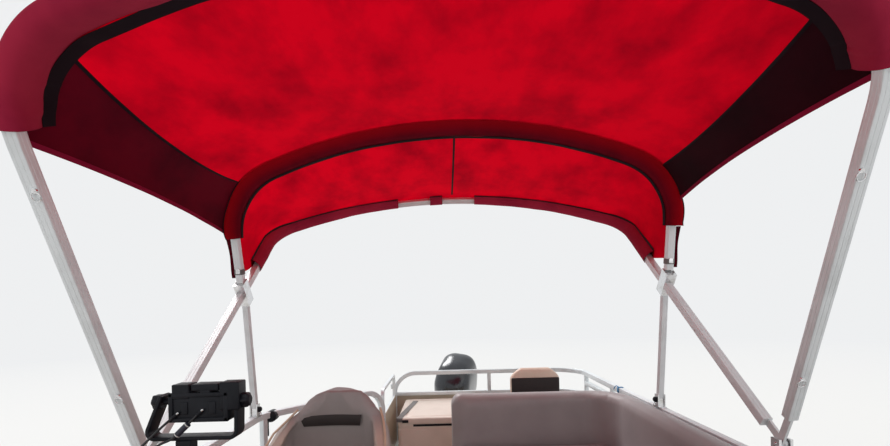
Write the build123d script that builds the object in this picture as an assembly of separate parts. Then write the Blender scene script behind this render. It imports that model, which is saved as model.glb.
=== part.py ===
from build123d import *
import os
from math import atan2, cos, pi, radians, sin, sqrt, tan

os.makedirs("parts", exist_ok=True)

# A fishing pontoon boat, in millimetres. +X is forward, +Y is to port, +Z is up and
# Z 0 is the underside of the keel strips. Seat, rail and console heights, whose names end
# in _H, are above the deck.

# Driving dimensions
DECK_LENGTH = 6100
BEAM = 2440
TUBE_D = 610
KEEL_H = 25
RISER_H = 22
CROSS_H = 64
BOARD_T = 19
FLOOR_T = 5
RAIL_H = 700
RAIL_SECTION = 32
BOW_TUBE = 38
STERN_EDGE_X = -2670

# Levels and edges that follow from them
TUBE_R = TUBE_D / 2
TUBE_Z = KEEL_H + TUBE_R
CROSS_Z = KEEL_H + TUBE_D + RISER_H
BOARD_Z = CROSS_Z + CROSS_H
DECK_Z = BOARD_Z + BOARD_T + FLOOR_T
BOW_EDGE_X = STERN_EDGE_X + DECK_LENGTH
DECK_MID_X = (STERN_EDGE_X + BOW_EDGE_X) / 2
TRIM_T = 12
BOARD_HALF = BEAM / 2 - TRIM_T
CORNER_R = 140

# Pontoons
TUBE_Y = 905
TUBE_AFT_X = STERN_EDGE_X - 60
NOSE_START_X = BOW_EDGE_X - 300
NOSE_L = 710
KEEL_W = 32
# columns: part of the nose length, part of the tube radius
NOSE_STATIONS = [(0.0, 1.0), (0.3, 0.955), (0.55, 0.83), (0.76, 0.645), (0.91, 0.42), (1.0, 0.16)]
NOSE_RISE = 0.78
SADDLE_L, SADDLE_W, SADDLE_T, SADDLE_FOOT = 60, 210, 6, 46
STRAKE_OUT, STRAKE_T, STRAKE_DROP = 48, 9, 40

# Crossmembers
CROSS_COUNT = 15
CROSS_W, CROSS_T = 52, 5
CROSS_HALF = BOARD_HALF - 14
CROSS_FIRST_X = STERN_EDGE_X + 150
CROSS_LAST_X = BOW_EDGE_X - 150

# Fences: the middle of the square top rail
RAIL_Y = 1175
FENCE_BOW_X = 3050
TRANSOM_X = -2170
RAIL_TOP_Z = DECK_Z + RAIL_H
RAIL_MID_Z = RAIL_TOP_Z - RAIL_SECTION / 2
PANEL_TOP_H = 490
PANEL_BOTTOM_H = 36
PANEL_T = 2.5
SLIM_RAIL = 25
BOW_GATE_HALF = 392
SIDE_GATE_FORE_X, SIDE_GATE_AFT_X = 2150, 1420
ENTRY_Y = -557
ENTRY_FORE_X = -1290
FENCE_CORNER_R = 280
FENCE_SPLIT_X = SIDE_GATE_FORE_X
FENCE_JOIN = 6
SECOND_RAIL_H = 600
SECOND_RAIL_X = (-1888, -567)

# Canopy frame. The two main bows meet at a base pivot on each side rail.
PIVOT_X = 552
PIVOT_Y = 1170
PIVOT_Z = DECK_Z + 780
FORE_LEAN = 25.6
MID_LEAN = 12.0
AFT_LEAN = -53.9
JOINT_S = 1080
JOINT_OFF = 36
LEG_START = 92
POST_FOOT_X = -437
POST_FOOT_Z = RAIL_TOP_Z + 34
LEG_PIN_R = 6
EYE_R, EYE_T = 15, 10
CANVAS_T = 5
# columns: bow, distance out from the tube's middle, foot of the section, shift along the bow's normal
CANVASES = {
    "canvas_fore": [("fore", 29, 960, -2), ("mid", 27, 200, 2)],
    "canvas_aft": [("mid", 27, 200, -2), ("aft", 21, 1400, 20)],
}
# columns: x and height of the side curtains' lower edge
CURTAIN_EDGE = [(1300, 1778), (-215, 1712), (-1200, 1702)]

# Outboard motor. The tilt tube lies behind the transom; the motor is parked tilted and turned.
TILT_X, TILT_Z = -3056, 760
MOTOR_Y = 0
TRANSOM_TOP_Z = TILT_Z - 30
TRANSOM_T = 45
PARK_TILT = 27
PARK_STEER = -18
STEER_BACK = 75
SHAFT_DROP = 715
PROP_R = 160


def block(x0, x1, y0, y1, z0, z1):
    """A box from its low corner to its high corner."""
    middle = Pos((x0 + x1) / 2, (y0 + y1) / 2, (z0 + z1) / 2)
    return middle * Box(x1 - x0, y1 - y0, z1 - z0)


def rod(start, end, radius):
    """A round bar between two points."""
    start, end = Vector(*start), Vector(*end)
    axis = end - start
    return extrude(Plane(origin=start, z_dir=axis) * Circle(radius), amount=axis.length)


def cross_rod(middle, half, radius):
    """A round bar along Y, half to each side of its middle."""
    return rod((middle.X, middle.Y - half, middle.Z), (middle.X, middle.Y + half, middle.Z), radius)


def flat_bar(start, end, wide, deep, across=(0, 1, 0)):
    """A rectangular bar between two points; its width lies along the across direction."""
    start, end = Vector(*start), Vector(*end)
    axis = end - start
    plane = Plane(origin=start, x_dir=Vector(*across), z_dir=axis)
    return extrude(plane * Rectangle(wide, deep), amount=axis.length)


def side_shape(points, y0, y1):
    """An outline drawn on X and Z, carried across from y0 to y1."""
    face = Plane.XZ * make_face(Polyline(*points, close=True))
    return Pos(0, (y0 + y1) / 2, 0) * extrude(face, amount=(y1 - y0) / 2, both=True)


def top_shape(points, z0, z1):
    """An outline drawn on X and Y, carried up from z0 to z1."""
    return Pos(0, 0, z0) * extrude(make_face(Polyline(*points, close=True)), amount=z1 - z0)


def rounded(x0, x1, y0, y1, z0, z1, r):
    """A cushion-like block with all its edges rounded."""
    solid = block(x0, x1, y0, y1, z0, z1)
    return fillet(solid.edges(), r)


def level_bar(path, wide, high, side=0.0, up=0.0):
    """A rectangle carried along a level path; side is to the left of travel."""
    ahead = path % 0
    plane = Plane(origin=path @ 0, x_dir=(-ahead.Y, ahead.X, 0), z_dir=ahead)
    return sweep(plane * Pos(side, up) * Rectangle(wide, high), path=path)


def join(first, *others):
    for other in others:
        first = first + other
    return first


# Hull


def pontoon(side):
    """A tube with a swept-up nose, a keel strip, saddles under the crossmembers and a strake."""
    y = side * TUBE_Y
    tube = extrude(
        Plane.YZ.offset(TUBE_AFT_X) * Pos(y, TUBE_Z) * Circle(TUBE_R),
        amount=NOSE_START_X - TUBE_AFT_X,
    )
    sections = []
    for along, part in NOSE_STATIONS:
        radius = TUBE_R * part
        centre_z = TUBE_Z + (TUBE_R - radius) * NOSE_RISE
        station = Plane.YZ.offset(NOSE_START_X + NOSE_L * along)
        sections.append(station * Pos(y, centre_z) * Circle(radius))
    hull = tube + loft(sections, ruled=True)
    keel = block(TUBE_AFT_X + 120, NOSE_START_X, y - KEEL_W / 2, y + KEEL_W / 2, 0, KEEL_H + 20)
    hull = hull + keel
    for x in cross_places():
        saddle = block(
            x - SADDLE_L / 2, x + SADDLE_L / 2, y - SADDLE_W / 2, y + SADDLE_W / 2,
            CROSS_Z - SADDLE_FOOT, CROSS_Z,
        )
        hollow = block(
            x - SADDLE_L / 2, x + SADDLE_L / 2, y - SADDLE_W / 2 + SADDLE_T, y + SADDLE_W / 2 - SADDLE_T,
            CROSS_Z - SADDLE_FOOT, CROSS_Z - SADDLE_T,
        )
        hull = hull + (saddle - hollow)
    inner = y - side * (TUBE_R - 8)
    tip = inner - side * STRAKE_OUT
    strake = Pos(TUBE_AFT_X + 300, 0, TUBE_Z - STRAKE_DROP) * extrude(
        Plane.YZ * make_face(Polyline((inner, 0), (tip, -STRAKE_T), (inner, -4 * STRAKE_T), close=True)),
        amount=NOSE_START_X - TUBE_AFT_X - 700,
    )
    return hull + strake


def cross_places():
    step = (CROSS_LAST_X - CROSS_FIRST_X) / (CROSS_COUNT - 1)
    return [CROSS_FIRST_X + step * i for i in range(CROSS_COUNT)]


def crossmembers():
    """Channels with their open side forward, from side to side under the deck."""
    channels = []
    for x in cross_places():
        outline = [
            (x - CROSS_W / 2, CROSS_Z), (x + CROSS_W / 2, CROSS_Z),
            (x + CROSS_W / 2, CROSS_Z + CROSS_T), (x - CROSS_W / 2 + CROSS_T, CROSS_Z + CROSS_T),
            (x - CROSS_W / 2 + CROSS_T, BOARD_Z - CROSS_T), (x + CROSS_W / 2, BOARD_Z - CROSS_T),
            (x + CROSS_W / 2, BOARD_Z), (x - CROSS_W / 2, BOARD_Z),
        ]
        channels.append(side_shape(outline, -CROSS_HALF, CROSS_HALF))
    return Compound(channels)


def deck_plate(inset, z0, thick):
    """A rounded rectangle of the deck's plan, its edge held in from the board's."""
    plan = RectangleRounded(DECK_LENGTH - 2 * TRIM_T - 2 * inset, 2 * (BOARD_HALF - inset), CORNER_R - inset)
    return Pos(DECK_MID_X, 0, z0) * extrude(plan, amount=thick)


def deck_trim():
    """The extrusion round the deck's edge, with a fendering rib along its middle."""
    low = CROSS_Z - 12
    high = DECK_Z + 3
    inner = RectangleRounded(DECK_LENGTH - 2 * TRIM_T, 2 * BOARD_HALF, CORNER_R)
    outer = RectangleRounded(DECK_LENGTH - 4, BEAM - 4, CORNER_R + TRIM_T - 2)
    rib = RectangleRounded(DECK_LENGTH + 4, BEAM + 4, CORNER_R + TRIM_T + 2)
    wall = Pos(DECK_MID_X, 0, low) * extrude(outer - inner, amount=high - low)
    band = Pos(DECK_MID_X, 0, low + 26) * extrude(rib - inner, amount=30)
    return wall + band


POD_HALF, POD_FORE_X, POD_TOP_Z, POD_FOOT_Z = 270, -1750, 600, 250
POD_PLATE_X = TILT_X + 55


def motor_pod():
    """The welded box under the stern that carries the transom plate."""
    stern = STERN_EDGE_X + 20
    outline = [
        (POD_FORE_X, CROSS_Z), (stern, CROSS_Z), (stern, POD_TOP_Z),
        (POD_PLATE_X + TRANSOM_T, POD_TOP_Z), (POD_PLATE_X + TRANSOM_T, TRANSOM_TOP_Z),
        (POD_PLATE_X, TRANSOM_TOP_Z), (POD_PLATE_X, POD_FOOT_Z + 40),
        (-2330, POD_FOOT_Z), (POD_FORE_X, POD_TOP_Z - 40),
    ]
    box = side_shape(outline, -POD_HALF, POD_HALF)
    for side in (-1, 1):
        bilge = Polyline((side * POD_HALF, POD_TOP_Z + 40), (side * 150, POD_FOOT_Z - 10),
                         (side * 400, POD_FOOT_Z - 10), close=True)
        box = box - Pos(POD_PLATE_X - 15, 0, 0) * extrude(Plane.YZ * make_face(bilge), amount=1300)
    return box


# Fences


def fence_path(corners, z, radii):
    points = [(x, y, z) for x, y in corners]
    if len(points) == 2:
        return Line(*points)
    return FilletPolyline(*points, radius=radii)


def fence_frame(corners, radii, end_radii, posts, second):
    """A hoop of square tube on two legs, with slim rails at the panel's top and foot.

    Where second gives two places along X, another slim rail joins the posts there under the top rail.
    """
    (x0, y0), (xn, yn) = corners[0], corners[-1]
    foot = [(x0, y0, DECK_Z)] + [(x, y, RAIL_MID_Z) for x, y in corners] + [(xn, yn, DECK_Z)]
    hoop_path = FilletPolyline(*foot, radius=[end_radii[0], *radii, end_radii[1]])
    first = Vector(*corners[1]) - Vector(*corners[0])
    start = Plane(origin=foot[0], x_dir=(first.X, first.Y, 0), z_dir=(0, 0, 1))
    frame = sweep(start * Rectangle(RAIL_SECTION, RAIL_SECTION), path=hoop_path)
    for height, size in ((PANEL_TOP_H, SLIM_RAIL), (PANEL_BOTTOM_H, SLIM_RAIL)):
        level = fence_path(corners, DECK_Z + height, radii)
        frame = frame + level_bar(level, size, size)
    level = fence_path(corners, DECK_Z, radii)
    for part in posts:
        ahead = level % part
        here = Plane(origin=level @ part, x_dir=(ahead.X, ahead.Y, 0), z_dir=(0, 0, 1))
        post = extrude(here * Rectangle(SLIM_RAIL, SLIM_RAIL), amount=RAIL_H - RAIL_SECTION / 2)
        frame = frame + post
    if second:
        y, half = corners[0][1], SLIM_RAIL / 2
        middle = DECK_Z + SECOND_RAIL_H
        frame = frame + block(*second, y - half, y + half, middle - half, middle + half)
    return frame


def fence_skin(corners, radii, outer):
    """The sheet on the outer face of a fence; outer is 1 when it is on the left of travel."""
    height = PANEL_TOP_H - PANEL_BOTTOM_H
    level = fence_path(corners, DECK_Z + (PANEL_TOP_H + PANEL_BOTTOM_H) / 2, radii)
    return level_bar(level, PANEL_T, height, side=outer * (RAIL_SECTION / 2 + PANEL_T / 2))


# columns: corners of the rail, corner radii, radii of the two end arches, posts by part of length,
# ends of the second rail, side of the skin
FENCES = {
    "fence_bow_port": (
        [(FENCE_BOW_X, BOW_GATE_HALF), (FENCE_BOW_X, RAIL_Y), (SIDE_GATE_FORE_X, RAIL_Y)],
        [FENCE_CORNER_R], (90, 90), (0.33, 0.66), (), -1,
    ),
    "fence_bow_starboard": (
        [(FENCE_BOW_X, -BOW_GATE_HALF), (FENCE_BOW_X, -RAIL_Y), (FENCE_SPLIT_X, -RAIL_Y)],
        [FENCE_CORNER_R], (90, 90), (0.33, 0.66), (), 1,
    ),
    "fence_port": (
        [(SIDE_GATE_AFT_X, RAIL_Y), (TRANSOM_X, RAIL_Y), (TRANSOM_X, ENTRY_Y)],
        [FENCE_CORNER_R], (90, 200), (0.127, 0.255, 0.382, 0.509, 0.636, 0.828), SECOND_RAIL_X, -1,
    ),
    "fence_starboard": (
        [(FENCE_SPLIT_X - RAIL_SECTION - FENCE_JOIN, -RAIL_Y), (-520, -RAIL_Y), (ENTRY_FORE_X, ENTRY_Y)],
        [250], (90, 150), (0.145, 0.29, 0.435, 0.58, 0.73, 0.865), (), 1,
    ),
}


# Gates. Each is drawn lying along +X from its hinge post's face and then placed.
GATE_GAP = 26
GATE_BOTTOM_H, GATE_TOP_H = 60, 690
HINGE_HEIGHTS = (180, 560)
KNUCKLE_R, HINGE_PIN_R, HINGE_FIT = 9, 4, 0.06
KNUCKLE_H, LUG_H = 30, 16
HINGE_SIDE = RAIL_SECTION / 2 + KNUCKLE_R
# columns: x and y of the hinge post's face, heading in degrees, length, swing side
GATES = {
    "bow_gate": (FENCE_BOW_X, BOW_GATE_HALF - 16, -90, 2 * BOW_GATE_HALF - 32, -1),
    "side_gate": (SIDE_GATE_FORE_X - 16, RAIL_Y, 180, SIDE_GATE_FORE_X - SIDE_GATE_AFT_X - 32, 1),
    "aft_gate": (TRANSOM_X + 16, ENTRY_Y, 0, ENTRY_FORE_X - TRANSOM_X - 32, -1),
}


def gate_place(name):
    x, y, heading, _, _ = GATES[name]
    return Pos(x, y, DECK_Z) * Rot(0, 0, heading)


def hinge_span(swing, inner):
    """The low and high Y of a leaf from the rail's face into the knuckle's axis."""
    ends = (swing * inner, swing * (HINGE_SIDE + 4))
    return min(ends), max(ends)


def gate_frame(name):
    """A hoop with a slim rail, carried on two knuckles."""
    length, swing = GATES[name][3], GATES[name][4]
    a, b = GATE_GAP + SLIM_RAIL / 2, length - 12 - SLIM_RAIL / 2
    low, high = GATE_BOTTOM_H + SLIM_RAIL / 2, GATE_TOP_H - SLIM_RAIL / 2
    path = FilletPolyline((a, 0, low), (a, 0, high), (b, 0, high), (b, 0, low), radius=60)
    frame = sweep(Plane(origin=(a, 0, low), z_dir=(0, 0, 1)) * Rectangle(SLIM_RAIL, SLIM_RAIL), path=path)
    frame = frame + block(a - SLIM_RAIL / 2, b + SLIM_RAIL / 2, -SLIM_RAIL / 2, SLIM_RAIL / 2,
                          GATE_BOTTOM_H, GATE_BOTTOM_H + SLIM_RAIL)
    frame = frame + block(a, b, -SLIM_RAIL / 2, SLIM_RAIL / 2, PANEL_TOP_H - SLIM_RAIL, PANEL_TOP_H)
    for h in HINGE_HEIGHTS:
        axis = (GATE_GAP / 2, swing * HINGE_SIDE)
        barrel = Pos(*axis, h + KNUCKLE_H / 2) * Cylinder(KNUCKLE_R, KNUCKLE_H)
        leaf = block(GATE_GAP / 2, a, *hinge_span(swing, SLIM_RAIL / 2 - 0.5), h, h + KNUCKLE_H)
        bore = Pos(*axis, h + KNUCKLE_H / 2) * Cylinder(HINGE_PIN_R + HINGE_FIT, KNUCKLE_H)
        frame = frame + barrel + leaf - bore
    return gate_place(name) * frame


def gate_panel(name):
    length, swing = GATES[name][3], GATES[name][4]
    away = -swing * (SLIM_RAIL / 2 + PANEL_T / 2)
    panel = block(GATE_GAP, length - 12, away - PANEL_T / 2, away + PANEL_T / 2, GATE_BOTTOM_H, PANEL_TOP_H)
    return gate_place(name) * panel


def gate_lugs(name):
    """The post's half of the hinges: a lug with a pin standing on it."""
    swing = GATES[name][4]
    lugs = []
    for h in HINGE_HEIGHTS:
        axis = (GATE_GAP / 2, swing * HINGE_SIDE)
        lug = Pos(*axis, h - LUG_H / 2 - 1) * Cylinder(KNUCKLE_R, LUG_H)
        arm = block(-12, GATE_GAP / 2, *hinge_span(swing, RAIL_SECTION / 2), h - LUG_H - 1, h - 1)
        pin = Pos(*axis, h + KNUCKLE_H / 2) * Cylinder(HINGE_PIN_R, KNUCKLE_H + 4)
        lugs.append(lug + arm + pin)
    return gate_place(name) * Compound(lugs)


# Canopy


# The aft bow's direction and the joint on its legs that carries the middle bow and the posts
AFT_UP = Vector(sin(radians(AFT_LEAN)), 0, cos(radians(AFT_LEAN)))
AFT_OUT = Vector(AFT_UP.Z, 0, -AFT_UP.X)
JOINT = Vector(PIVOT_X, 0, PIVOT_Z) + AFT_UP * JOINT_S
MID_FOOT = JOINT + AFT_OUT * JOINT_OFF
POST_TOP = JOINT - AFT_OUT * JOINT_OFF
# columns: foot x, foot z, lean forward in degrees, half width, crown distance up the slope,
# crown radius, corner radius, sideways lean of the bow in degrees
BOWS = {
    "fore": (PIVOT_X, PIVOT_Z, FORE_LEAN, PIVOT_Y, 1563, 2190, 350, 1.4),
    "mid": (MID_FOOT.X, MID_FOOT.Z, MID_LEAN, PIVOT_Y, 792, 2650, 360, 0.8),
    "aft": (PIVOT_X, PIVOT_Z, AFT_LEAN, PIVOT_Y, 2249, 1650, 300, 0.4),
}


def bow_plane(name):
    """The plane of a bow: its first axis is +Y and its second runs up the legs."""
    x, z, lean, *_ = BOWS[name]
    normal = Vector(cos(radians(lean)), 0, -sin(radians(lean)))
    return Plane(origin=(x, 0, z), x_dir=(0, 1, 0), z_dir=normal)


def bow_edges(name, off, start):
    """The bow's line, moved out by off: leg, corner, crown, corner and leg, all tangent."""
    _, _, _, half, crown, big, small, _ = BOWS[name]
    half, crown, big, small = half + off, crown + off, big + off, small + off
    corner_v = crown - big + sqrt((big - small) ** 2 - (half - small) ** 2)
    spread = atan2(half - small, corner_v - crown + big)
    tangent = (big * sin(spread), crown - big + big * cos(spread))
    knee = (half - small + small * cos(pi / 4 - spread / 2), corner_v + small * sin(pi / 4 - spread / 2))
    right = [(half, start), (half, corner_v), knee, tangent]
    left = [(-u, v) for u, v in right]
    return [
        Line(left[0], left[1]),
        ThreePointArc(left[1], left[2], left[3]),
        ThreePointArc(left[3], (0, crown), right[3]),
        ThreePointArc(right[3], right[2], right[1]),
        Line(right[1], right[0]),
    ]


def bow_tube(name, start):
    plane = bow_plane(name)
    lean = Rot(0, 0, BOWS[name][7])
    path = Wire(bow_edges(name, 0, start))
    section = Plane(origin=path @ 0, x_dir=(1, 0, 0), z_dir=(0, 1, 0)) * Rectangle(BOW_TUBE, BOW_TUBE)
    return plane * lean * sweep(section, path=path)


def bow_region(name, off, low, back):
    """The space under a bow, from its line moved out by off down to a straight foot at low."""
    line = bow_edges(name, off, low)
    foot = Line(line[-1] @ 1, line[0] @ 0)
    return bow_plane(name).offset(back) * Rot(0, 0, BOWS[name][7]) * make_face(Wire(line + [foot]))


def canvas(name):
    """A stretched skin between two bows, trimmed along its side curtains' lower edge."""
    skins = []
    for thick, drop in ((CANVAS_T, 0), (0, 60)):
        ends = [bow_region(bow, off + thick, low - drop, shift) for bow, off, low, shift in CANVASES[name]]
        skins.append(loft(ends, ruled=True))
    below = [(x, DECK_Z + h) for x, h in CURTAIN_EDGE]
    below = below + [(CURTAIN_EDGE[-1][0], DECK_Z + 1300), (CURTAIN_EDGE[0][0], DECK_Z + 1300)]
    return skins[0] - skins[1] - side_shape(below, -BEAM, BEAM)


def tongue(lean, side, inset):
    """The flat end of a leg, bored for the base pin."""
    up = Vector(sin(radians(lean)), 0, cos(radians(lean)))
    foot = Vector(PIVOT_X, side * (PIVOT_Y + inset), PIVOT_Z)
    end = foot + up * (LEG_START + 30)
    arm = flat_bar(tuple(foot), tuple(end), EYE_T, 2 * EYE_R)
    eye = cross_rod(foot, EYE_T / 2, EYE_R)
    return arm + eye - cross_rod(foot, EYE_T, LEG_PIN_R + HINGE_FIT)


def fore_bow():
    shape = bow_tube("fore", LEG_START)
    return join(shape, tongue(FORE_LEAN, 1, -7), tongue(FORE_LEAN, -1, -7))


def aft_bow():
    shape = bow_tube("aft", LEG_START)
    return join(shape, tongue(AFT_LEAN, 1, 7), tongue(AFT_LEAN, -1, 7))


def mid_bow():
    return bow_tube("mid", 22)


def rear_posts():
    posts = []
    for side in (-1, 1):
        y = side * PIVOT_Y
        up = (POST_TOP - Vector(POST_FOOT_X, 0, POST_FOOT_Z)).normalized()
        low = Vector(POST_FOOT_X, y, POST_FOOT_Z) + up * 20
        high = Vector(POST_TOP.X, y, POST_TOP.Z) - up * 20
        posts.append(flat_bar(tuple(low), tuple(high), 32, 32))
    return Compound(posts)


def base_bracket(y):
    """Cheeks on the side rail with the pin that both legs turn on."""
    shape = block(PIVOT_X - 60, PIVOT_X + 60, y - 26, y + 26, RAIL_TOP_Z, RAIL_TOP_Z + 8)
    for cheek in (-1, 1):
        shape = shape + block(PIVOT_X - 22, PIVOT_X + 22, y + cheek * 21 - 5, y + cheek * 21 + 5,
                              RAIL_TOP_Z, PIVOT_Z + 20)
    return shape + cross_rod(Vector(PIVOT_X, y, PIVOT_Z), 30, LEG_PIN_R)


def leg_joint(y):
    """The saddle on an aft leg that holds the middle bow's foot and the post's head."""
    plane = Plane(origin=(JOINT.X, y, JOINT.Z), x_dir=AFT_UP, z_dir=(0, -1, 0))
    return plane * Box(70, 2 * BOW_TUBE + 60, BOW_TUBE + 16)


def post_foot(y):
    """A bracket on the rail with the post's foot between its cheeks."""
    shape = block(POST_FOOT_X - 40, POST_FOOT_X + 40, y - 22, y + 22, RAIL_TOP_Z, RAIL_TOP_Z + 8)
    for cheek in (-1, 1):
        shape = shape + block(POST_FOOT_X - 16, POST_FOOT_X + 26, y + cheek * 19 - 3, y + cheek * 19 + 3,
                              RAIL_TOP_Z, POST_FOOT_Z + 42)
    return shape + block(POST_FOOT_X - 12, POST_FOOT_X + 16, y - 16, y + 16, RAIL_TOP_Z, POST_FOOT_Z + 20)


def canopy_fittings():
    sides = (-PIVOT_Y, PIVOT_Y)
    tubes = [aft_bow(), mid_bow(), rear_posts()]
    pieces = [make(y) for make in (base_bracket, post_foot) for y in sides]
    saddles = [leg_joint(y) for y in sides]
    for tube in tubes[:2]:
        saddles = [saddle - tube for saddle in saddles]
    held = [piece - tubes[2] for piece in pieces[2:] + saddles]
    return Compound(pieces[:2] + held)


# Seating

COUCH_AFT_BACK = (-940, -800)
COUCH_SEAT_AFT_FRONT = -330
COUCH_END_Y = -45
COUCH_PORT_Y = 1140
COUCH_PORT_BACK_Y = 1005
COUCH_PORT_SEAT_Y = 520
COUCH_FORE_X = 1000
COUCH_BASE_H = 285
COUCH_SEAT_H = 405
COUCH_BACK_H = 720
COUCH_PORT_DROP = 25
CUSHION_GAP = 2
SEAT_R, BACK_R = 28, 45
TOE_KICK, TOE_H = 40, 80


def couch_plan(k):
    """The L of the plinth, held in by k on its open sides."""
    x0, y1 = COUCH_AFT_BACK[0], COUCH_PORT_Y
    return [
        (x0 + k, COUCH_END_Y + k), (COUCH_SEAT_AFT_FRONT - k, COUCH_END_Y + k),
        (COUCH_SEAT_AFT_FRONT - k, COUCH_PORT_SEAT_Y + k), (COUCH_FORE_X - k, COUCH_PORT_SEAT_Y + k),
        (COUCH_FORE_X - k, y1), (x0 + k, y1),
    ]


def couch_base():
    """An L-shaped plinth, set back at its foot."""
    toe = DECK_Z + TOE_H
    return top_shape(couch_plan(TOE_KICK), DECK_Z, toe) + top_shape(couch_plan(0), toe, DECK_Z + COUCH_BASE_H)


def couch_seats():
    low, high = DECK_Z + COUCH_BASE_H, DECK_Z + COUCH_SEAT_H
    start, back = COUCH_AFT_BACK[1] + CUSHION_GAP, COUCH_PORT_BACK_Y - CUSHION_GAP
    cushions = [rounded(start, COUCH_SEAT_AFT_FRONT, COUCH_END_Y, back, low, high, SEAT_R)]
    middle, gap = (COUCH_SEAT_AFT_FRONT + COUCH_FORE_X) / 2, CUSHION_GAP / 2
    for x0, x1 in ((COUCH_SEAT_AFT_FRONT + 2 * gap, middle - gap), (middle + gap, COUCH_FORE_X)):
        cushions.append(rounded(x0, x1, COUCH_PORT_SEAT_Y, back, low, high, SEAT_R))
    return Compound(cushions)


def couch_backs():
    """The back along the stern end and the one along the port rail."""
    x0, x1 = COUCH_AFT_BACK
    low, high = DECK_Z + COUCH_BASE_H, DECK_Z + COUCH_BACK_H
    aft = rounded(x0, x1, COUCH_END_Y, COUCH_PORT_Y, low, high, BACK_R)
    port = rounded(x1 + CUSHION_GAP, COUCH_FORE_X, COUCH_PORT_BACK_Y, COUCH_PORT_Y, low,
                   high - COUCH_PORT_DROP, BACK_R)
    return Compound([aft, port])


# columns: x and y of the pedestal, heading in degrees
CHAIRS = {
    "aft_chair": (-1470, 600, 180),
    "bow_chair_port": (2540, 740, 0),
    "bow_chair_starboard": (2540, -740, 0),
}
CHAIR_PLATE_H = 300
CHAIR_SEAT_H = 340
CHAIR_SEAT_T = 90
CHAIR_BACK_H = 850
CHAIR_HALF = 225
CHAIR_PAN_HALF = 190
CHAIR_PIVOT = (-215, 475)
CHAIR_PIN_R = 8
EAR_Y, STRAP_Y, STRAP_HALF = 205, 219, 16
PLATE_T, SWIVEL_GAP = 12, 0.5


def pedestal(x, y, height, radius=38):
    foot = Pos(x, y, DECK_Z + 5) * Cylinder(120, 10)
    post = Pos(x, y, DECK_Z + height / 2) * Cylinder(radius, height)
    return foot + post


def seat_pedestals():
    posts = [pedestal(x, y, CHAIR_PLATE_H - SWIVEL_GAP) for x, y, _ in CHAIRS.values()]
    return Compound(posts + [pedestal(HELM_X, HELM_Y, HELM_PLATE_H - SWIVEL_GAP, 60)])


def chair_place(name):
    x, y, heading = CHAIRS[name]
    return Pos(x, y, DECK_Z) * Rot(0, 0, heading)


def chair_seat(name):
    """A cushion on a pan, with an ear each side for the back's hinge."""
    low = CHAIR_PLATE_H
    plate = block(-90, 90, -90, 90, low, low + PLATE_T)
    pan = block(-CHAIR_PAN_HALF, CHAIR_PAN_HALF, -CHAIR_PAN_HALF, CHAIR_PAN_HALF, low + PLATE_T, CHAIR_SEAT_H)
    cushion = rounded(-CHAIR_HALF + 30, CHAIR_HALF + 10, -CHAIR_HALF, CHAIR_HALF,
                      CHAIR_SEAT_H, CHAIR_SEAT_H + CHAIR_SEAT_T, 32)
    shape = plate + pan + cushion
    px, pz = CHAIR_PIVOT
    ear = [(px - 22, pz - 22), (px - 22, pz + 22), (px + 22, pz + 22),
           (px + 60, low + 20), (px + 30, low + 20)]
    for side in (-1, 1):
        y = side * EAR_Y
        shape = shape + side_shape(ear, y - 5, y + 5)
        shape = shape + rod((px, y - side * 5, pz), (px, y + side * 22, pz), CHAIR_PIN_R)
    return chair_place(name) * shape


def chair_back(name):
    """A padded back between two straps that hang on the seat's hinge pins."""
    px, pz = CHAIR_PIVOT
    half = CHAIR_HALF - 33
    shape = rounded(px - 32, px + 38, -half, half, pz + 30, CHAIR_BACK_H, 30)
    for side in (-1, 1):
        y = side * STRAP_Y
        strap = block(px - STRAP_HALF, px + STRAP_HALF, y - 4, y + 4, pz - STRAP_HALF, pz + 150)
        ends = sorted((side * (half - 7), y))
        tie = block(px - STRAP_HALF, px + STRAP_HALF, *ends, pz + 70, pz + 150)
        eye = cross_rod(Vector(px, y, pz), 6, CHAIR_PIN_R + HINGE_FIT)
        shape = shape + tie + (strap - eye)
    return chair_place(name) * shape


# Helm seat, from its swivel's middle. The back wraps round: a shell with a wing on each side.
HELM_X, HELM_Y = 400, -560
HELM_PLATE_H, HELM_PLATE_T, HELM_PLATE_HALF = 320, 25, 110
HELM_SEAT_H = 500
HELM_SEAT_X, HELM_SEAT_HALF = (-200, 250), 242
HELM_BACK_H = 960
HELM_WING_X, HELM_WING_HALF, HELM_WING_T = 30, 262, 58
HELM_BEND_X, HELM_REAR_X, HELM_FACE_X = -130, -290, -165
HELM_SHOULDER_R = 110


def helm_seat():
    place = Pos(HELM_X, HELM_Y, DECK_Z)
    half, top = HELM_PLATE_HALF, HELM_PLATE_H + HELM_PLATE_T
    plate = block(-half, half, -half, half, HELM_PLATE_H, top)
    cushion = rounded(*HELM_SEAT_X, -HELM_SEAT_HALF, HELM_SEAT_HALF, top, HELM_SEAT_H, 45)
    return place * (plate + cushion)


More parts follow.
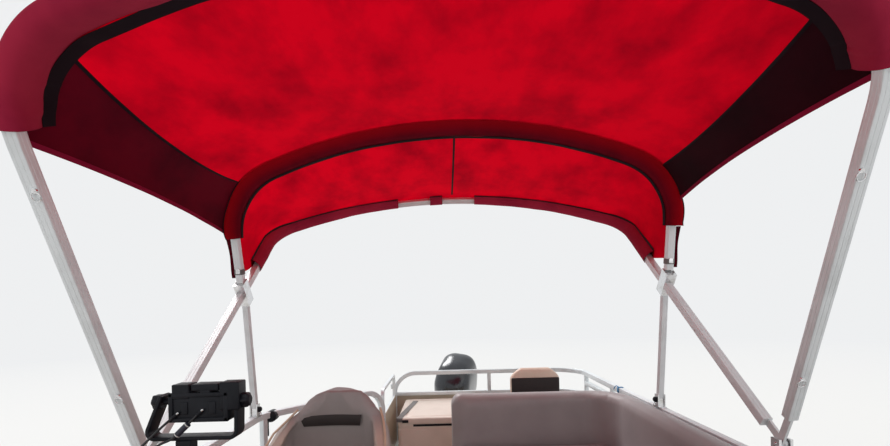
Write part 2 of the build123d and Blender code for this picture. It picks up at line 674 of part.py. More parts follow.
def helm_back():
    """A bucket back: one wrapped shell with rounded shoulders and wings that slope down forward."""
    place = Pos(HELM_X, HELM_Y, DECK_Z)
    half, bend, tip = HELM_WING_HALF, HELM_BEND_X, HELM_WING_X
    inner = half - HELM_WING_T
    plan = Wire([
        Line((tip, -half), (bend - 20, -half)),
        ThreePointArc((bend - 20, -half), (HELM_REAR_X, 0), (bend - 20, half)),
        Line((bend - 20, half), (tip, half)),
        Line((tip, half), (tip, inner)),
        Line((tip, inner), (bend, inner - 10)),
        ThreePointArc((bend, inner - 10), (HELM_FACE_X, 0), (bend, 10 - inner)),
        Line((bend, 10 - inner), (tip, -inner)),
        Line((tip, -inner), (tip, -half)),
    ])
    low = HELM_SEAT_H + CUSHION_GAP
    shell = Pos(0, 0, low) * extrude(make_face(plan), amount=HELM_BACK_H - low)
    tall = HELM_BACK_H - low + 2 * HELM_SHOULDER_R
    front = Plane.YZ.offset(HELM_REAR_X - 10) * Pos(0, HELM_BACK_H - tall / 2)
    across = front * RectangleRounded(2 * half, tall, HELM_SHOULDER_R)
    shoulders = extrude(across, amount=tip - HELM_REAR_X + 20)
    slope = side_shape([(bend - 5, HELM_BACK_H + 5), (60, HELM_BACK_H + 5), (60, 640), (20, 640)], -300, 300)
    return place * ((shell & shoulders) - slope)


# Helm

CONSOLE = (900, 1350, -1135, -330)
CONSOLE_H = 840
CONSOLE_R = 60
# columns: x from the console's aft face, height above the deck
CONSOLE_SIDE = [(0, 0), (450, 0), (450, 600), (360, CONSOLE_H), (120, CONSOLE_H), (25, 600), (0, 560)]
SHELF_SIDE = [(0, 550), (4, CONSOLE_H - 25), (20, CONSOLE_H), (130, CONSOLE_H), (130, 550)]
SHELF_END_Y = -728
WELL_MARGIN, WELL_DEPTH, WELL_H = 120, 260, (60, 430)
GROMMET_R, GROMMET_T = 9, 10
WHEEL_C = Vector(852, -530, DECK_Z + 655)
WHEEL_R = 170
WHEEL_TILT = 22
HUB_DEPTH = 34


def console_body():
    """A moulded console: sloping dash, a shelf beside the wheel, a footwell and two cable grommets."""
    x0, x1, y0, y1 = CONSOLE
    body = side_shape([(x0 + x, DECK_Z + h) for x, h in CONSOLE_SIDE], y0, y1)
    body = body + side_shape([(x0 + x, DECK_Z + h) for x, h in SHELF_SIDE], y0, SHELF_END_Y)
    plan = RectangleRounded(x1 - x0, y1 - y0, CONSOLE_R)
    body = body & (Pos((x0 + x1) / 2, (y0 + y1) / 2, DECK_Z) * extrude(plan, amount=CONSOLE_H))
    well = block(x0 - 10, x0 + WELL_DEPTH, y0 + WELL_MARGIN, y1 - WELL_MARGIN,
                 DECK_Z + WELL_H[0], DECK_Z + WELL_H[1])
    body = body - well
    for route in CABLE_ROUTES.values():
        x, y, _ = route[0]
        body = body + Pos(x, y, DECK_Z + CONSOLE_H + GROMMET_T / 2) * Cylinder(GROMMET_R, GROMMET_T)
    return body


def wheel_frame():
    """The steering wheel's plane: its normal points at the helmsman and up."""
    tilt = radians(WHEEL_TILT)
    return Plane(origin=WHEEL_C, x_dir=(0, 1, 0), z_dir=(-cos(tilt), 0, sin(tilt)))


def steering_wheel():
    """A round rim on three flat spokes."""
    shape = Torus(WHEEL_R, 13) + Pos(0, 0, -14) * Cylinder(38, 40)
    for angle in (90, 210, 330):
        shape = shape + Rot(0, 0, angle) * Pos(WHEEL_R / 2, 0, -6) * Box(WHEEL_R, 24, 8)
    return wheel_frame() * shape


def steering_column():
    column = wheel_frame() * Pos(0, 0, -HUB_DEPTH - 60.5) * Cylinder(27, 120)
    return column - console_body()


def throttle():
    """The control box and lever on the console's inboard end."""
    x0, y1, z = CONSOLE[0], CONSOLE[3], DECK_Z + 620
    box = rounded(x0 + 60, x0 + 200, y1, y1 + 55, z, z + 110, 14)
    lever = flat_bar((x0 + 130, y1 + 65, z + 55), (x0 + 90, y1 + 65, z + 190), 14, 24)
    grip = rod((x0 + 90, y1 + 45, z + 190), (x0 + 90, y1 + 110, z + 190), 14)
    axle = rod((x0 + 130, y1 + 50, z + 55), (x0 + 130, y1 + 78, z + 55), 16)
    return box + lever + grip + axle


# Chart plotter's mount, without its display: a stem holds the bail and the bail holds the cradle
MOUNT_X = 905
STEM_X, STEM_Y, STEM_R, STEM_FOOT_R = MOUNT_X + 60, -811, 11, 42
STEM_HEAD_X, STEM_HEAD_HALF, STEM_HEAD_T = (MOUNT_X - 4, MOUNT_X + 38), 22, 22
# columns: y, height above the deck
BAIL_OUTLINE = [(-940, 938), (-655, 938), (-652, 1080), (-664, 1080), (-668, 962), (-678, 952),
                (-914, 952), (-925, 960), (-872, 1080), (-884, 1080)]
BAIL_DEPTH = (-16, 34)
BAIL_FOOT_H = 938
KNOB_X, KNOB_H, KNOB_R = MOUNT_X + 10, 1060, 23
KNOB_SPANS = [(-914, -886), (-654, -630)]
CRADLE_Y, CRADLE_H, CRADLE_DEPTH = (-864, -694), (1000, 1112), (-20, 36)
CRADLE_PIVOT_Y, CRADLE_PIVOT_R = (-876, -666), 9


def plotter_stem():
    """A round foot on the console's shelf, a leaning post and the head under the bail."""
    top = DECK_Z + CONSOLE_H
    under = DECK_Z + BAIL_FOOT_H
    foot = Pos(STEM_X, STEM_Y, top + 4) * Cylinder(STEM_FOOT_R, 8)
    x0, x1 = STEM_HEAD_X
    post = rod((STEM_X, STEM_Y, top + 8), ((x0 + x1) / 2, STEM_Y, under - 10), STEM_R)
    head = block(x0, x1, STEM_Y - STEM_HEAD_HALF, STEM_Y + STEM_HEAD_HALF, under - STEM_HEAD_T, under)
    return foot + post + head


def plotter_bail():
    """A bent bail with a clamping knob on the outside of each arm."""
    back, front = BAIL_DEPTH
    low, high = CRADLE_PIVOT_Y
    outline = Polyline(*[(y, DECK_Z + h) for y, h in BAIL_OUTLINE], close=True)
    shape = extrude(Plane.YZ.offset(MOUNT_X + back) * make_face(outline), amount=front - back)
    for y0, y1 in KNOB_SPANS:
        shape = shape + rod((KNOB_X, y0, DECK_Z + KNOB_H), (KNOB_X, y1, DECK_Z + KNOB_H), KNOB_R)
    inside = rod((KNOB_X, low - 1, DECK_Z + KNOB_H), (KNOB_X, high + 1, DECK_Z + KNOB_H), KNOB_R + 1)
    return shape - inside


def plotter_cradle():
    (y0, y1), (z0, z1), (back, front) = CRADLE_Y, CRADLE_H, CRADLE_DEPTH
    body = rounded(MOUNT_X + back, MOUNT_X + front, y0, y1, DECK_Z + z0, DECK_Z + z1, 8)
    low, high = CRADLE_PIVOT_Y
    return body + rod((KNOB_X, low, DECK_Z + KNOB_H), (KNOB_X, high, DECK_Z + KNOB_H), CRADLE_PIVOT_R)


# Two cables from the console's grommets up to the mount, where their plugs rest on the cradle's face
CABLE_D = 7
PLUG_L, PLUG_R, FERRULE_L, FERRULE_R = 17, 5, 7, 3.6
CABLE_ROUTES = {
    "plotter_cable_outboard": [(992, -948, 1596), (990, -946, 1632), (975, -930, 1672), (955, -900, 1706),
                               (947, -868, 1738), (946.5, -836, 1764)],
    "plotter_cable_inboard": [(1004, -905, 1596), (1000, -903, 1630), (984, -893, 1666), (963, -868, 1694),
                              (950, -836, 1703), (947, -800, 1738), (946.5, -765, 1771)],
}


def cable_radii(route):
    """As large an arc at each corner as its two runs allow."""
    points = [Vector(*p) for p in route]
    radii = []
    for a, b, c in zip(points, points[1:], points[2:]):
        turn = radians((b - a).get_angle(c - b))
        radii.append(0.45 * min((b - a).length, (c - b).length) / tan(turn / 2))
    return radii


def cable(name):
    route = CABLE_ROUTES[name]
    radii = cable_radii(route)
    path = FilletPolyline(*route, radius=radii)
    tube = sweep(Plane(origin=path @ 0, z_dir=path % 0) * Circle(CABLE_D / 2), path=path)
    print(name, "radii", [round(r) for r in radii], "length", round(path.length),
          "volume share", round(tube.volume / (pi * CABLE_D**2 / 4 * path.length), 3))
    return tube


def plotter_plugs():
    """A moulded plug and a bright ferrule on each cable's end."""
    plugs = []
    for route in CABLE_ROUTES.values():
        end = Vector(*route[-1])
        ahead = (end - Vector(*route[-2])).normalized()
        middle, tip = end + ahead * PLUG_L, end + ahead * (PLUG_L + FERRULE_L)
        plugs.append(rod(tuple(end), tuple(middle), PLUG_R) + rod(tuple(middle), tuple(tip), FERRULE_R))
    return Compound(plugs)


# Stern

BOX_X = (-2105, -1370)
BOX_Y = (-450, 150)
BOX_WALL = 30
BOX_BODY_H, BOX_H = 408, 450
BOX_CORNER_R = 35
BOX_LIP, BOX_GRIP_Y, BOX_GRIP_H, BOX_GRIP_DEPTH = 8, (-330, 30), 26, 12
LATCH_Y, LATCH_HALF, LATCH_T = (-390, 90), 24, 9
BOX_PIN = Vector(BOX_X[0] - 12, 0, DECK_Z + BOX_BODY_H + 1)
BOX_HINGE_Y = (-330, 30)
BOX_PIN_R, BOX_KNUCKLE_R, BOX_KNUCKLE_HALF, BOX_LUG_HALF = 4, 8, 13, 23


def box_hinge_parts(y, arm_low, arm_high, spans, radius):
    """Discs round the lid's axis over the given spans of Y, each tied forward to the box."""
    shape = None
    for y0, y1 in spans:
        disc = rod((BOX_PIN.X, y + y0, BOX_PIN.Z), (BOX_PIN.X, y + y1, BOX_PIN.Z), radius)
        arm = block(BOX_PIN.X, BOX_X[0] + 3, y + y0, y + y1, BOX_PIN.Z + arm_low, BOX_PIN.Z + arm_high)
        part = disc + arm
        shape = part if shape is None else shape + part
    return shape


def aft_box_body():
    """An open tub with a grip recess under its front rim and half of the lid's hinges."""
    (x0, x1), (y0, y1) = BOX_X, BOX_Y
    rim = DECK_Z + BOX_BODY_H
    shell = block(x0, x1, y0, y1, DECK_Z, rim)
    shell = fillet(shell.edges().filter_by(Axis.Z), BOX_CORNER_R)
    hollow = block(x0 + BOX_WALL, x1 - BOX_WALL, y0 + BOX_WALL, y1 - BOX_WALL, DECK_Z + BOX_WALL, rim + 10)
    grip = block(x1 - BOX_GRIP_DEPTH, x1 + 5, *BOX_GRIP_Y, rim - BOX_GRIP_H, rim - BOX_GRIP_H + 18)
    shell = shell - fillet(hollow.edges().filter_by(Axis.Z), 20) - grip
    lugs = ((-BOX_LUG_HALF, -BOX_KNUCKLE_HALF - 1), (BOX_KNUCKLE_HALF + 1, BOX_LUG_HALF))
    for y in BOX_HINGE_Y:
        shell = shell + box_hinge_parts(y, -16, -4, lugs, BOX_KNUCKLE_R)
        shell = shell + cross_rod(Vector(BOX_PIN.X, y, BOX_PIN.Z), BOX_LUG_HALF, BOX_PIN_R)
    return shell


def aft_box_lid():
    """A lid with a rounded top edge, a front lip, two latches and its hinge knuckles."""
    (x0, x1), (y0, y1) = BOX_X, BOX_Y
    low, high = DECK_Z + BOX_BODY_H + 1, DECK_Z + BOX_H
    lid = block(x0, x1 + BOX_LIP, y0, y1, low, high)
    lid = fillet(lid.edges().filter_by(Axis.Z), BOX_CORNER_R)
    lid = fillet(lid.faces().sort_by(Axis.Z)[-1].edges(), 10)
    for y in LATCH_Y:
        front = x1 + BOX_LIP
        lid = lid + block(front - 4, front + LATCH_T, y - LATCH_HALF, y + LATCH_HALF, low + 4, high - 12)
    for y in BOX_HINGE_Y:
        knuckle = ((-BOX_KNUCKLE_HALF, BOX_KNUCKLE_HALF),)
        lid = lid + box_hinge_parts(y, 2, 8, knuckle, BOX_KNUCKLE_R)
        lid = lid - cross_rod(Vector(BOX_PIN.X, y, BOX_PIN.Z), BOX_LUG_HALF, BOX_PIN_R + HINGE_FIT)
    return lid


LADDER_X = STERN_EDGE_X - 40
LADDER_Z = DECK_Z + 34
LADDER_Y = (-1080, -710)
LADDER_L = 950
LADDER_R = 13
LADDER_PIN_R = 6
LADDER_EYE_R = 18
TREAD_COUNT, TREAD_STEP, TREAD_HALF, TREAD_T = 4, 245, 25, 18


def ladder():
    """Two rails and flat treads, stowed flat on the deck with its hinge at the stern edge."""
    y0, y1 = LADDER_Y
    rails = [rod((LADDER_X, y, LADDER_Z), (LADDER_X + LADDER_L, y, LADDER_Z), LADDER_R) for y in LADDER_Y]
    treads = []
    low, high = LADDER_Z - TREAD_T / 2, LADDER_Z + TREAD_T / 2
    for i in range(TREAD_COUNT):
        x = LADDER_X + LADDER_L - 30 - TREAD_STEP * i
        treads.append(block(x - TREAD_HALF, x + TREAD_HALF, y0, y1, low, high))
    eyes = [cross_rod(Vector(LADDER_X, y, LADDER_Z), 10, LADDER_EYE_R) for y in LADDER_Y]
    bore = rod((LADDER_X, y0 - 20, LADDER_Z), (LADDER_X, y1 + 20, LADDER_Z), LADDER_PIN_R + HINGE_FIT)
    return join(*rails, *treads, *eyes) - bore


def ladder_brackets():
    """An arm beside each eye, carrying its pin, on a foot screwed to the deck."""
    plates = []
    for y in LADDER_Y:
        arm = block(LADDER_X - 16, STERN_EDGE_X + 60, y + 14, y + 24, DECK_Z + 3, LADDER_Z + 16)
        base = block(STERN_EDGE_X - 2, STERN_EDGE_X + 60, y + 14, y + 60, DECK_Z + 3, DECK_Z + 9)
        pin = cross_rod(Vector(LADDER_X, y, LADDER_Z), 14, LADDER_PIN_R)
        plates.append(arm + base + pin)
    return plates


# Outboard motor, drawn upright with the tilt tube's middle at the origin. Outlines are x and z.
CLAMP_OUTLINE = [(-32, -20), (-20, 28), (20, 30), (48, 18), (58, -14), (104, -14), (112, -24), (112, -118),
                 (100, -118), (100, -30), (55, -30), (55, -330), (30, -330), (-8, -120)]
CLAMP_Y = (80, 100)
TILT_TUBE_R, TILT_TUBE_HALF = 18, 118
SWIVEL_OUTLINE = [(-75, -60), (-10, -38), (28, -20), (28, 24), (-20, 38), (-75, 44)]
SWIVEL_HALF, SWIVEL_TUBE_R, SWIVEL_TUBE_Z = 72, 38, (-330, 44)
STEER_PIN_R, STEER_PIN_Z = 20, (-372, 84)
# columns: height, middle x, length, width, corner radius
LEG_ROWS = [(-690, -245, 250, 34, 16), (-480, -225, 190, 70, 30), (60, -230, 210, 118, 50)]
PAN_ROWS = [(60, -210, 250, 150, 60), (128, -195, 490, 330, 110)]
COWL_ROWS = [(129, -192, 510, 346, 110), (160, -188, 552, 384, 125), (220, -185, 582, 412, 135),
             (320, -187, 592, 420, 140), (430, -188, 584, 414, 142), (520, -186, 562, 394, 142),
             (600, -182, 524, 356, 138), (660, -176, 462, 300, 124), (700, -170, 372, 224, 96),
             (720, -165, 240, 128, 60)]
PLATE_Z, GEAR_R = -526, 52
# columns: x, radius
GEAR_NOSE = [(-180, GEAR_R), (-150, 47), (-125, 37), (-105, 22), (-95, 8)]
SKEG_OUTLINE = [(-215, -740), (-390, -740), (-385, -868), (-330, -880)]
SHAFT_R = 11
PROP_X, HUB_R, HUB_L = -410, 46, 95
# columns: radius, chord, pitch angle in degrees, thickness
BLADE_ROWS = [(36, 74, 62, 9), (90, 128, 40, 7), (140, 120, 29, 5), (170, 70, 25, 4)]


def tilted(shape):
    return Pos(TILT_X, MOTOR_Y, TILT_Z) * Rot(0, PARK_TILT, 0) * shape


def steered(shape):
    turn = Pos(-STEER_BACK, 0, 0) * Rot(0, 0, PARK_STEER) * Pos(STEER_BACK, 0, 0)
    return tilted(turn * shape)


def steer_rod(z_span, radius):
    return rod((-STEER_BACK, 0, z_span[0]), (-STEER_BACK, 0, z_span[1]), radius)


def ovals(rows):
    """A stack of rounded rectangles joined by straight-ruled walls."""
    return loft([Pos(x, 0, z) * RectangleRounded(long, wide, r) for z, x, long, wide, r in rows], ruled=True)


def motor_clamp():
    """Two cheeks hooked over the transom and the tilt tube between them."""
    near, far = CLAMP_Y
    shape = side_shape(CLAMP_OUTLINE, near, far) + side_shape(CLAMP_OUTLINE, -far, -near)
    return Pos(TILT_X, MOTOR_Y, TILT_Z) * (shape + cross_rod(Vector(0, 0, 0), TILT_TUBE_HALF, TILT_TUBE_R))


def motor_swivel():
    """The bracket that tilts: arms from the tilt tube to the steering tube."""
    low, high = SWIVEL_TUBE_Z
    arms = side_shape(SWIVEL_OUTLINE, -SWIVEL_HALF, SWIVEL_HALF)
    neck = block(-STEER_BACK, -30, -30, 30, low + 30, 0)
    tilt_bore = cross_rod(Vector(0, 0, 0), TILT_TUBE_HALF, TILT_TUBE_R + HINGE_FIT)
    steer_bore = steer_rod((low - 10, high + 16), STEER_PIN_R + HINGE_FIT)
    return tilted(arms + steer_rod(SWIVEL_TUBE_Z, SWIVEL_TUBE_R) + neck - tilt_bore - steer_bore)


def motor_leg():
    """Mid section, anti-ventilation plate, gearcase and skeg, with the steering pin."""
    front = -STEER_BACK + 30
    top = block(-240, front, -55, 55, SWIVEL_TUBE_Z[1] + 8, STEER_PIN_Z[1] + 12)
    low = block(-200, front, -40, 40, STEER_PIN_Z[0], SWIVEL_TUBE_Z[0] - 8)
    plate = Pos(-290, 0, PLATE_Z) * extrude(RectangleRounded(360, 210, 90), amount=10)
    case = rod((GEAR_NOSE[0][0], 0, -SHAFT_DROP), (-400, 0, -SHAFT_DROP), GEAR_R)
    stations = [Plane(origin=(x, 0, -SHAFT_DROP), z_dir=(1, 0, 0)) * Circle(r) for x, r in GEAR_NOSE]
    nose = loft(stations, ruled=True)
    skeg = side_shape(SKEG_OUTLINE, -6, 6)
    shaft = rod((-400, 0, -SHAFT_DROP), (-520, 0, -SHAFT_DROP), SHAFT_R)
    pin = steer_rod(STEER_PIN_Z, STEER_PIN_R)
    return steered(join(pin, top, low, ovals(LEG_ROWS), ovals(PAN_ROWS), plate, case, nose, skeg, shaft))


def motor_cowl():
    return steered(ovals(COWL_ROWS))


def propeller():
    """Three blades with a falling pitch angle on a hub that turns on the shaft."""
    place = Pos(PROP_X, 0, -SHAFT_DROP) * Rot(0, -90, 0)
    shape = extrude(Circle(HUB_R), amount=HUB_L, taper=4)
    for turn in (0, 120, 240):
        sections = []
        for radius, chord, pitch, thick in BLADE_ROWS:
            rise = radians(90 - pitch)
            station = Plane(origin=(radius, 0, HUB_L / 2), x_dir=(0, cos(rise), sin(rise)), z_dir=(1, 0, 0))
            sections.append(station * Rectangle(chord, thick))
        shape = shape + Rot(0, 0, turn) * loft(sections, ruled=True)
    tips = Pos(0, 0, HUB_L / 2) * Cylinder(PROP_R, 2 * HUB_L)
    bore = Cylinder(SHAFT_R + HINGE_FIT, 4 * HUB_L)
    return steered(place * ((shape & tips) - bore))


CLEAT_HALF, CLEAT_R, CLEAT_H, CLEAT_IN = 75, 10, 42, 45


def cleats():
    """A horn on two feet near each corner of the deck."""
    shapes = []
    for x in (STERN_EDGE_X + 130, BOW_EDGE_X - 160):
        for side in (-1, 1):
            y = side * (BOARD_HALF - CLEAT_IN)
            horn = rod((x - CLEAT_HALF, y, DECK_Z + CLEAT_H), (x + CLEAT_HALF, y, DECK_Z + CLEAT_H), CLEAT_R)
            top = DECK_Z + CLEAT_H
            feet = [block(x + dx - 12, x + dx + 12, y - 14, y + 14, DECK_Z, top) for dx in (-28, 28)]
            shapes.append(join(horn, *feet))
    return shapes


def deck_fittings():
    return Compound(cleats() + ladder_brackets())


# Every piece by its node name
PIECES = {
    "pontoon_port": lambda: pontoon(1),
    "pontoon_starboard": lambda: pontoon(-1),
    "crossmembers": crossmembers,
    "deck_board": lambda: deck_plate(0, BOARD_Z, BOARD_T),
    "deck_flooring": lambda: deck_plate(0, BOARD_Z + BOARD_T, FLOOR_T),
    "deck_trim": deck_trim,
    "deck_fittings": deck_fittings,
    "motor_pod": motor_pod,
    "canopy_fore_bow": fore_bow,
    "canopy_mid_bow": mid_bow,
    "canopy_aft_bow": aft_bow,
    "canopy_rear_posts": rear_posts,
    "canopy_fittings": canopy_fittings,
    "couch_base": couch_base,
    "couch_seats": couch_seats,
    "couch_backs": couch_backs,
    "seat_pedestals": seat_pedestals,
    "helm_seat": helm_seat,
    "helm_back": helm_back,
    "console_body": console_body,
    "steering_column": steering_column,
    "steering_wheel": steering_wheel,
    "throttle": throttle,
    "plotter_stem": plotter_stem,
    "plotter_bail": plotter_bail,
    "plotter_cradle": plotter_cradle,
    "plotter_plugs": plotter_plugs,
    "aft_box_body": aft_box_body,
    "aft_box_lid": aft_box_lid,
    "ladder": ladder,
    "motor_clamp": motor_clamp,
    "motor_swivel": motor_swivel,
    "motor_leg": motor_leg,
    "motor_cowl": motor_cowl,
    "propeller": propeller,
    "gate_lugs": lambda: Compound([gate_lugs(g) for g in GATES]),
}
for canvas_name in CANVASES:
    PIECES[canvas_name] = lambda n=canvas_name: canvas(n)
for cable_name in CABLE_ROUTES:
    PIECES[cable_name] = lambda n=cable_name: cable(n)
for fence, (*frame_values, skin_side) in FENCES.items():
    PIECES[fence + "_frame"] = lambda values=frame_values: fence_frame(*values)
    PIECES[fence + "_skin"] = lambda values=frame_values, side=skin_side: fence_skin(*values[:2], side)
for gate in GATES:
    PIECES[gate + "_frame"] = lambda g=gate: gate_frame(g)
    PIECES[gate + "_panel"] = lambda g=gate: gate_panel(g)
for chair in CHAIRS:
    PIECES[chair + "_seat"] = lambda c=chair: chair_seat(c)
    PIECES[chair + "_back"] = lambda c=chair: chair_back(c)

for node, make in PIECES.items():
    export_step(make(), "parts/" + node + ".step")
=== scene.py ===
from math import asin, atan2, cos, pi, radians, sin, sqrt

import bpy
import numpy as np
from mathutils import Matrix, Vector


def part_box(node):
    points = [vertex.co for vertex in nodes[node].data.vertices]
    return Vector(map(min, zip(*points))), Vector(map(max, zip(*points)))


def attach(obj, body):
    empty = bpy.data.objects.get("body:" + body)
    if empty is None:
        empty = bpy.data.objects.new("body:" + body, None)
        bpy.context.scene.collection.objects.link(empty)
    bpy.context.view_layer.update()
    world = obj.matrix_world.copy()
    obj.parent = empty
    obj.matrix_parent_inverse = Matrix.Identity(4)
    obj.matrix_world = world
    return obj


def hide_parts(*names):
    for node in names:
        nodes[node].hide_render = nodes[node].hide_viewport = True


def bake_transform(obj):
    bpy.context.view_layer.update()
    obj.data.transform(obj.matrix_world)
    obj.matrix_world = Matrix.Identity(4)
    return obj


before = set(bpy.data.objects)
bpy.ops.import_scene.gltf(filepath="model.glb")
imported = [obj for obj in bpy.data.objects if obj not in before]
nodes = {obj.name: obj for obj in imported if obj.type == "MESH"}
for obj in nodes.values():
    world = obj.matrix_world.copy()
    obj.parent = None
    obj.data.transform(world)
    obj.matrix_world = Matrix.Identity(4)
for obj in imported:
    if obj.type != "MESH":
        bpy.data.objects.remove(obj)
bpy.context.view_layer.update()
print("frame loaded")

# Metres, +X to the bow, +Y to port, +Z up. The deck's height gives every other level.
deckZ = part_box("deck_flooring")[1][2]


# Camera: level, looking aft from under the canopy. The lens axis meets the picture below its middle.
photoView = {
    "place": (2.280, -0.052, deckZ + 1.32),
    "focalPx": 470.0,
    "sizePx": (890.0, 446.0),
    "axisPx": (446.0, 305.0),
    "roll": 0.025,
    "sensor": 36.0,
}


def setCamera(view):
    width, height = view["sizePx"]
    lens = bpy.data.cameras.new("camera")
    lens.sensor_width = view["sensor"]
    lens.lens = view["sensor"] * view["focalPx"] / width
    lens.shift_x = (width / 2 - view["axisPx"][0]) / width
    lens.shift_y = (view["axisPx"][1] - height / 2) / width
    lens.clip_start = 0.02
    camera = bpy.data.objects.new("camera", lens)
    bpy.context.scene.collection.objects.link(camera)
    aft = Matrix(((0, 0, 1), (1, 0, 0), (0, 1, 0))).to_4x4()
    camera.matrix_world = Matrix.Translation(view["place"]) @ aft @ Matrix.Rotation(-view["roll"], 4, "Z")
    bpy.context.scene.camera = camera


setCamera(photoView)
print("camera set")


# Surfaces. A shape is (points, faces, uv); a piece is one or more shapes in one mesh.


def gridShape(points, wrapRows=False, wrapCols=False, capRows=False, uv=None, flip=False):
    # points is (rows, cols, 3): quads between neighbours, uv by distance along the middle row and column
    rows, cols = points.shape[:2]
    i, j = np.meshgrid(np.arange(rows - (not wrapRows)), np.arange(cols - (not wrapCols)), indexing="ij")
    i2, j2 = (i + 1) % rows, (j + 1) % cols
    quads = np.stack([i * cols + j, i * cols + j2, i2 * cols + j2, i2 * cols + j], axis=-1).reshape(-1, 4)
    if uv is None:
        v, u = runAlong(points[:, cols // 2]), runAlong(points[rows // 2])
        uv = np.stack(np.meshgrid(v, u, indexing="ij")[::-1], axis=-1)
    faces = quads.tolist()
    if capRows:
        faces.append(list(range(cols))[::-1])
        faces.append(list(range((rows - 1) * cols, rows * cols)))
    if flip:
        faces = [face[::-1] for face in faces]
    return points.reshape(-1, 3), faces, uv.reshape(-1, 2)


def joined(shapes):
    points, faces, uvs, start = [], [], [], 0
    for p, f, uv in shapes:
        points.append(p)
        uvs.append(uv)
        faces += [[k + start for k in face] for face in f]
        start += len(p)
    return np.concatenate(points), faces, np.concatenate(uvs)


def piece(name, shapes, finish, body="root", replaces=(), sharp=35.0, levels=0, ride=True):
    # one object at the origin, smooth apart from edges over the sharp angle
    points, faces, uv = joined(shapes)
    mesh = bpy.data.meshes.new(name)
    mesh.from_pydata(points.tolist(), [], faces)
    layer = mesh.uv_layers.new(name="UVMap")
    corner = np.empty(len(mesh.loops), dtype=np.int32)
    mesh.loops.foreach_get("vertex_index", corner)
    layer.data.foreach_set("uv", uv[corner].astype(np.float32).ravel())
    mesh.polygons.foreach_set("use_smooth", np.ones(len(mesh.polygons), dtype=bool))
    mesh.set_sharp_from_angle(angle=radians(sharp))
    mesh.validate()
    thing = bpy.data.objects.new(name, mesh)
    bpy.context.scene.collection.objects.link(thing)
    mesh.materials.append(finishes[finish])
    if levels:
        smooth = thing.modifiers.new("smooth", "SUBSURF")
        smooth.levels = smooth.render_levels = levels
    if ride:
        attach(thing, body)
    if replaces:
        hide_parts(*replaces)
    return thing


def unit(v):
    return v / np.maximum(np.linalg.norm(v, axis=-1, keepdims=True), 1e-9)


def tangents(path):
    return unit(np.gradient(path, axis=0))


def runAlong(path):
    # distance from a path's start to each of its points
    return np.concatenate([[0.0], np.cumsum(np.linalg.norm(np.diff(path, axis=0), axis=1))])


def atRun(path, at):
    # a path's points at the given distances along it
    run = runAlong(path)
    return np.stack([np.interp(at, run, column) for column in path.T], axis=-1)


def lofted(rows, flip=False):
    # closed loops joined in turn, both ends capped
    return gridShape(np.array(rows), wrapCols=True, capRows=True, flip=flip)


def asideOf(ahead):
    # some direction at right angles to ahead
    return unit(np.cross(ahead, (0.3, 0.2, 1.0) if abs(ahead[2]) < 0.9 else (1.0, 0.2, 0.1)))


def carry(path, side, up, profile):
    # profile (k, 2) carried along path (n, 3): its first axis lies on side and its second on up
    return path[:, None] + side[:, None] * profile[None, :, :1] + up[:, None] * profile[None, :, 1:]


# the four quarter turns in a plane
quarters = [np.array([[cos(t), -sin(t)], [sin(t), cos(t)]]) for t in (0, pi / 2, pi, 3 * pi / 2)]


def roundedLoop(wide, high, r, steps=4):
    # corners of a rectangle as quarter circles, one closed loop
    a = np.linspace(0, pi / 2, steps + 1)
    corner = np.stack([np.cos(a), np.sin(a)], axis=1) * r
    middles = [(wide / 2 - r, high / 2 - r), (r - wide / 2, high / 2 - r), (r - wide / 2, r - high / 2),
               (wide / 2 - r, r - high / 2)]
    return np.concatenate([corner @ t.T + np.array(m) for t, m in zip(quarters, middles)])


def roundLoop(r, steps=16):
    a = np.linspace(0, 2 * pi, steps, endpoint=False)
    return np.stack([np.cos(a), np.sin(a)], axis=1) * r


def roundedPath(corners, radii, steps=8):
    # straight runs joined by tangent arcs; each corner's arc is turned about its own centre
    corners = [np.array(c, dtype=float) for c in corners]
    points = [corners[0]]
    for before, here, after, r in zip(corners[:-2], corners[1:-1], corners[2:], radii):
        a, b = unit(before - here), unit(after - here)
        half = np.arccos(np.clip(a @ b, -1, 1)) / 2
        centre = here + unit(a + b) * r / sin(half)
        x = unit(here + a * r / np.tan(half) - centre)
        y = unit(b - a - ((b - a) @ x) * x)
        t = np.linspace(0, pi - 2 * half, steps)[:, None]
        points += list(centre + r * (x * np.cos(t) + y * np.sin(t)))
    points.append(corners[-1])
    return np.array(points)


def planSide(path):
    # the level direction to the left of travel; upright runs take their neighbour's
    ahead = tangents(path) * np.array([1, 1, 0])
    flat = np.linalg.norm(ahead, axis=1)
    good = np.where(flat > 0.05)[0]
    nearest = good[np.abs(np.arange(len(path))[:, None] - good[None]).argmin(axis=1)]
    ahead = unit(ahead[nearest])
    return np.stack([-ahead[:, 1], ahead[:, 0], np.zeros(len(path))], axis=1)


def squareTube(path, profile, side=None):
    ahead = tangents(path)
    side = planSide(path) if side is None else np.broadcast_to(side, path.shape)
    return lofted(carry(path, side, np.cross(ahead, side), profile), True)


def roundBar(start, end, r, steps=16):
    path = np.array([start, end], dtype=float)
    return squareTube(path, roundLoop(r, steps), asideOf(unit(path[1] - path[0])))


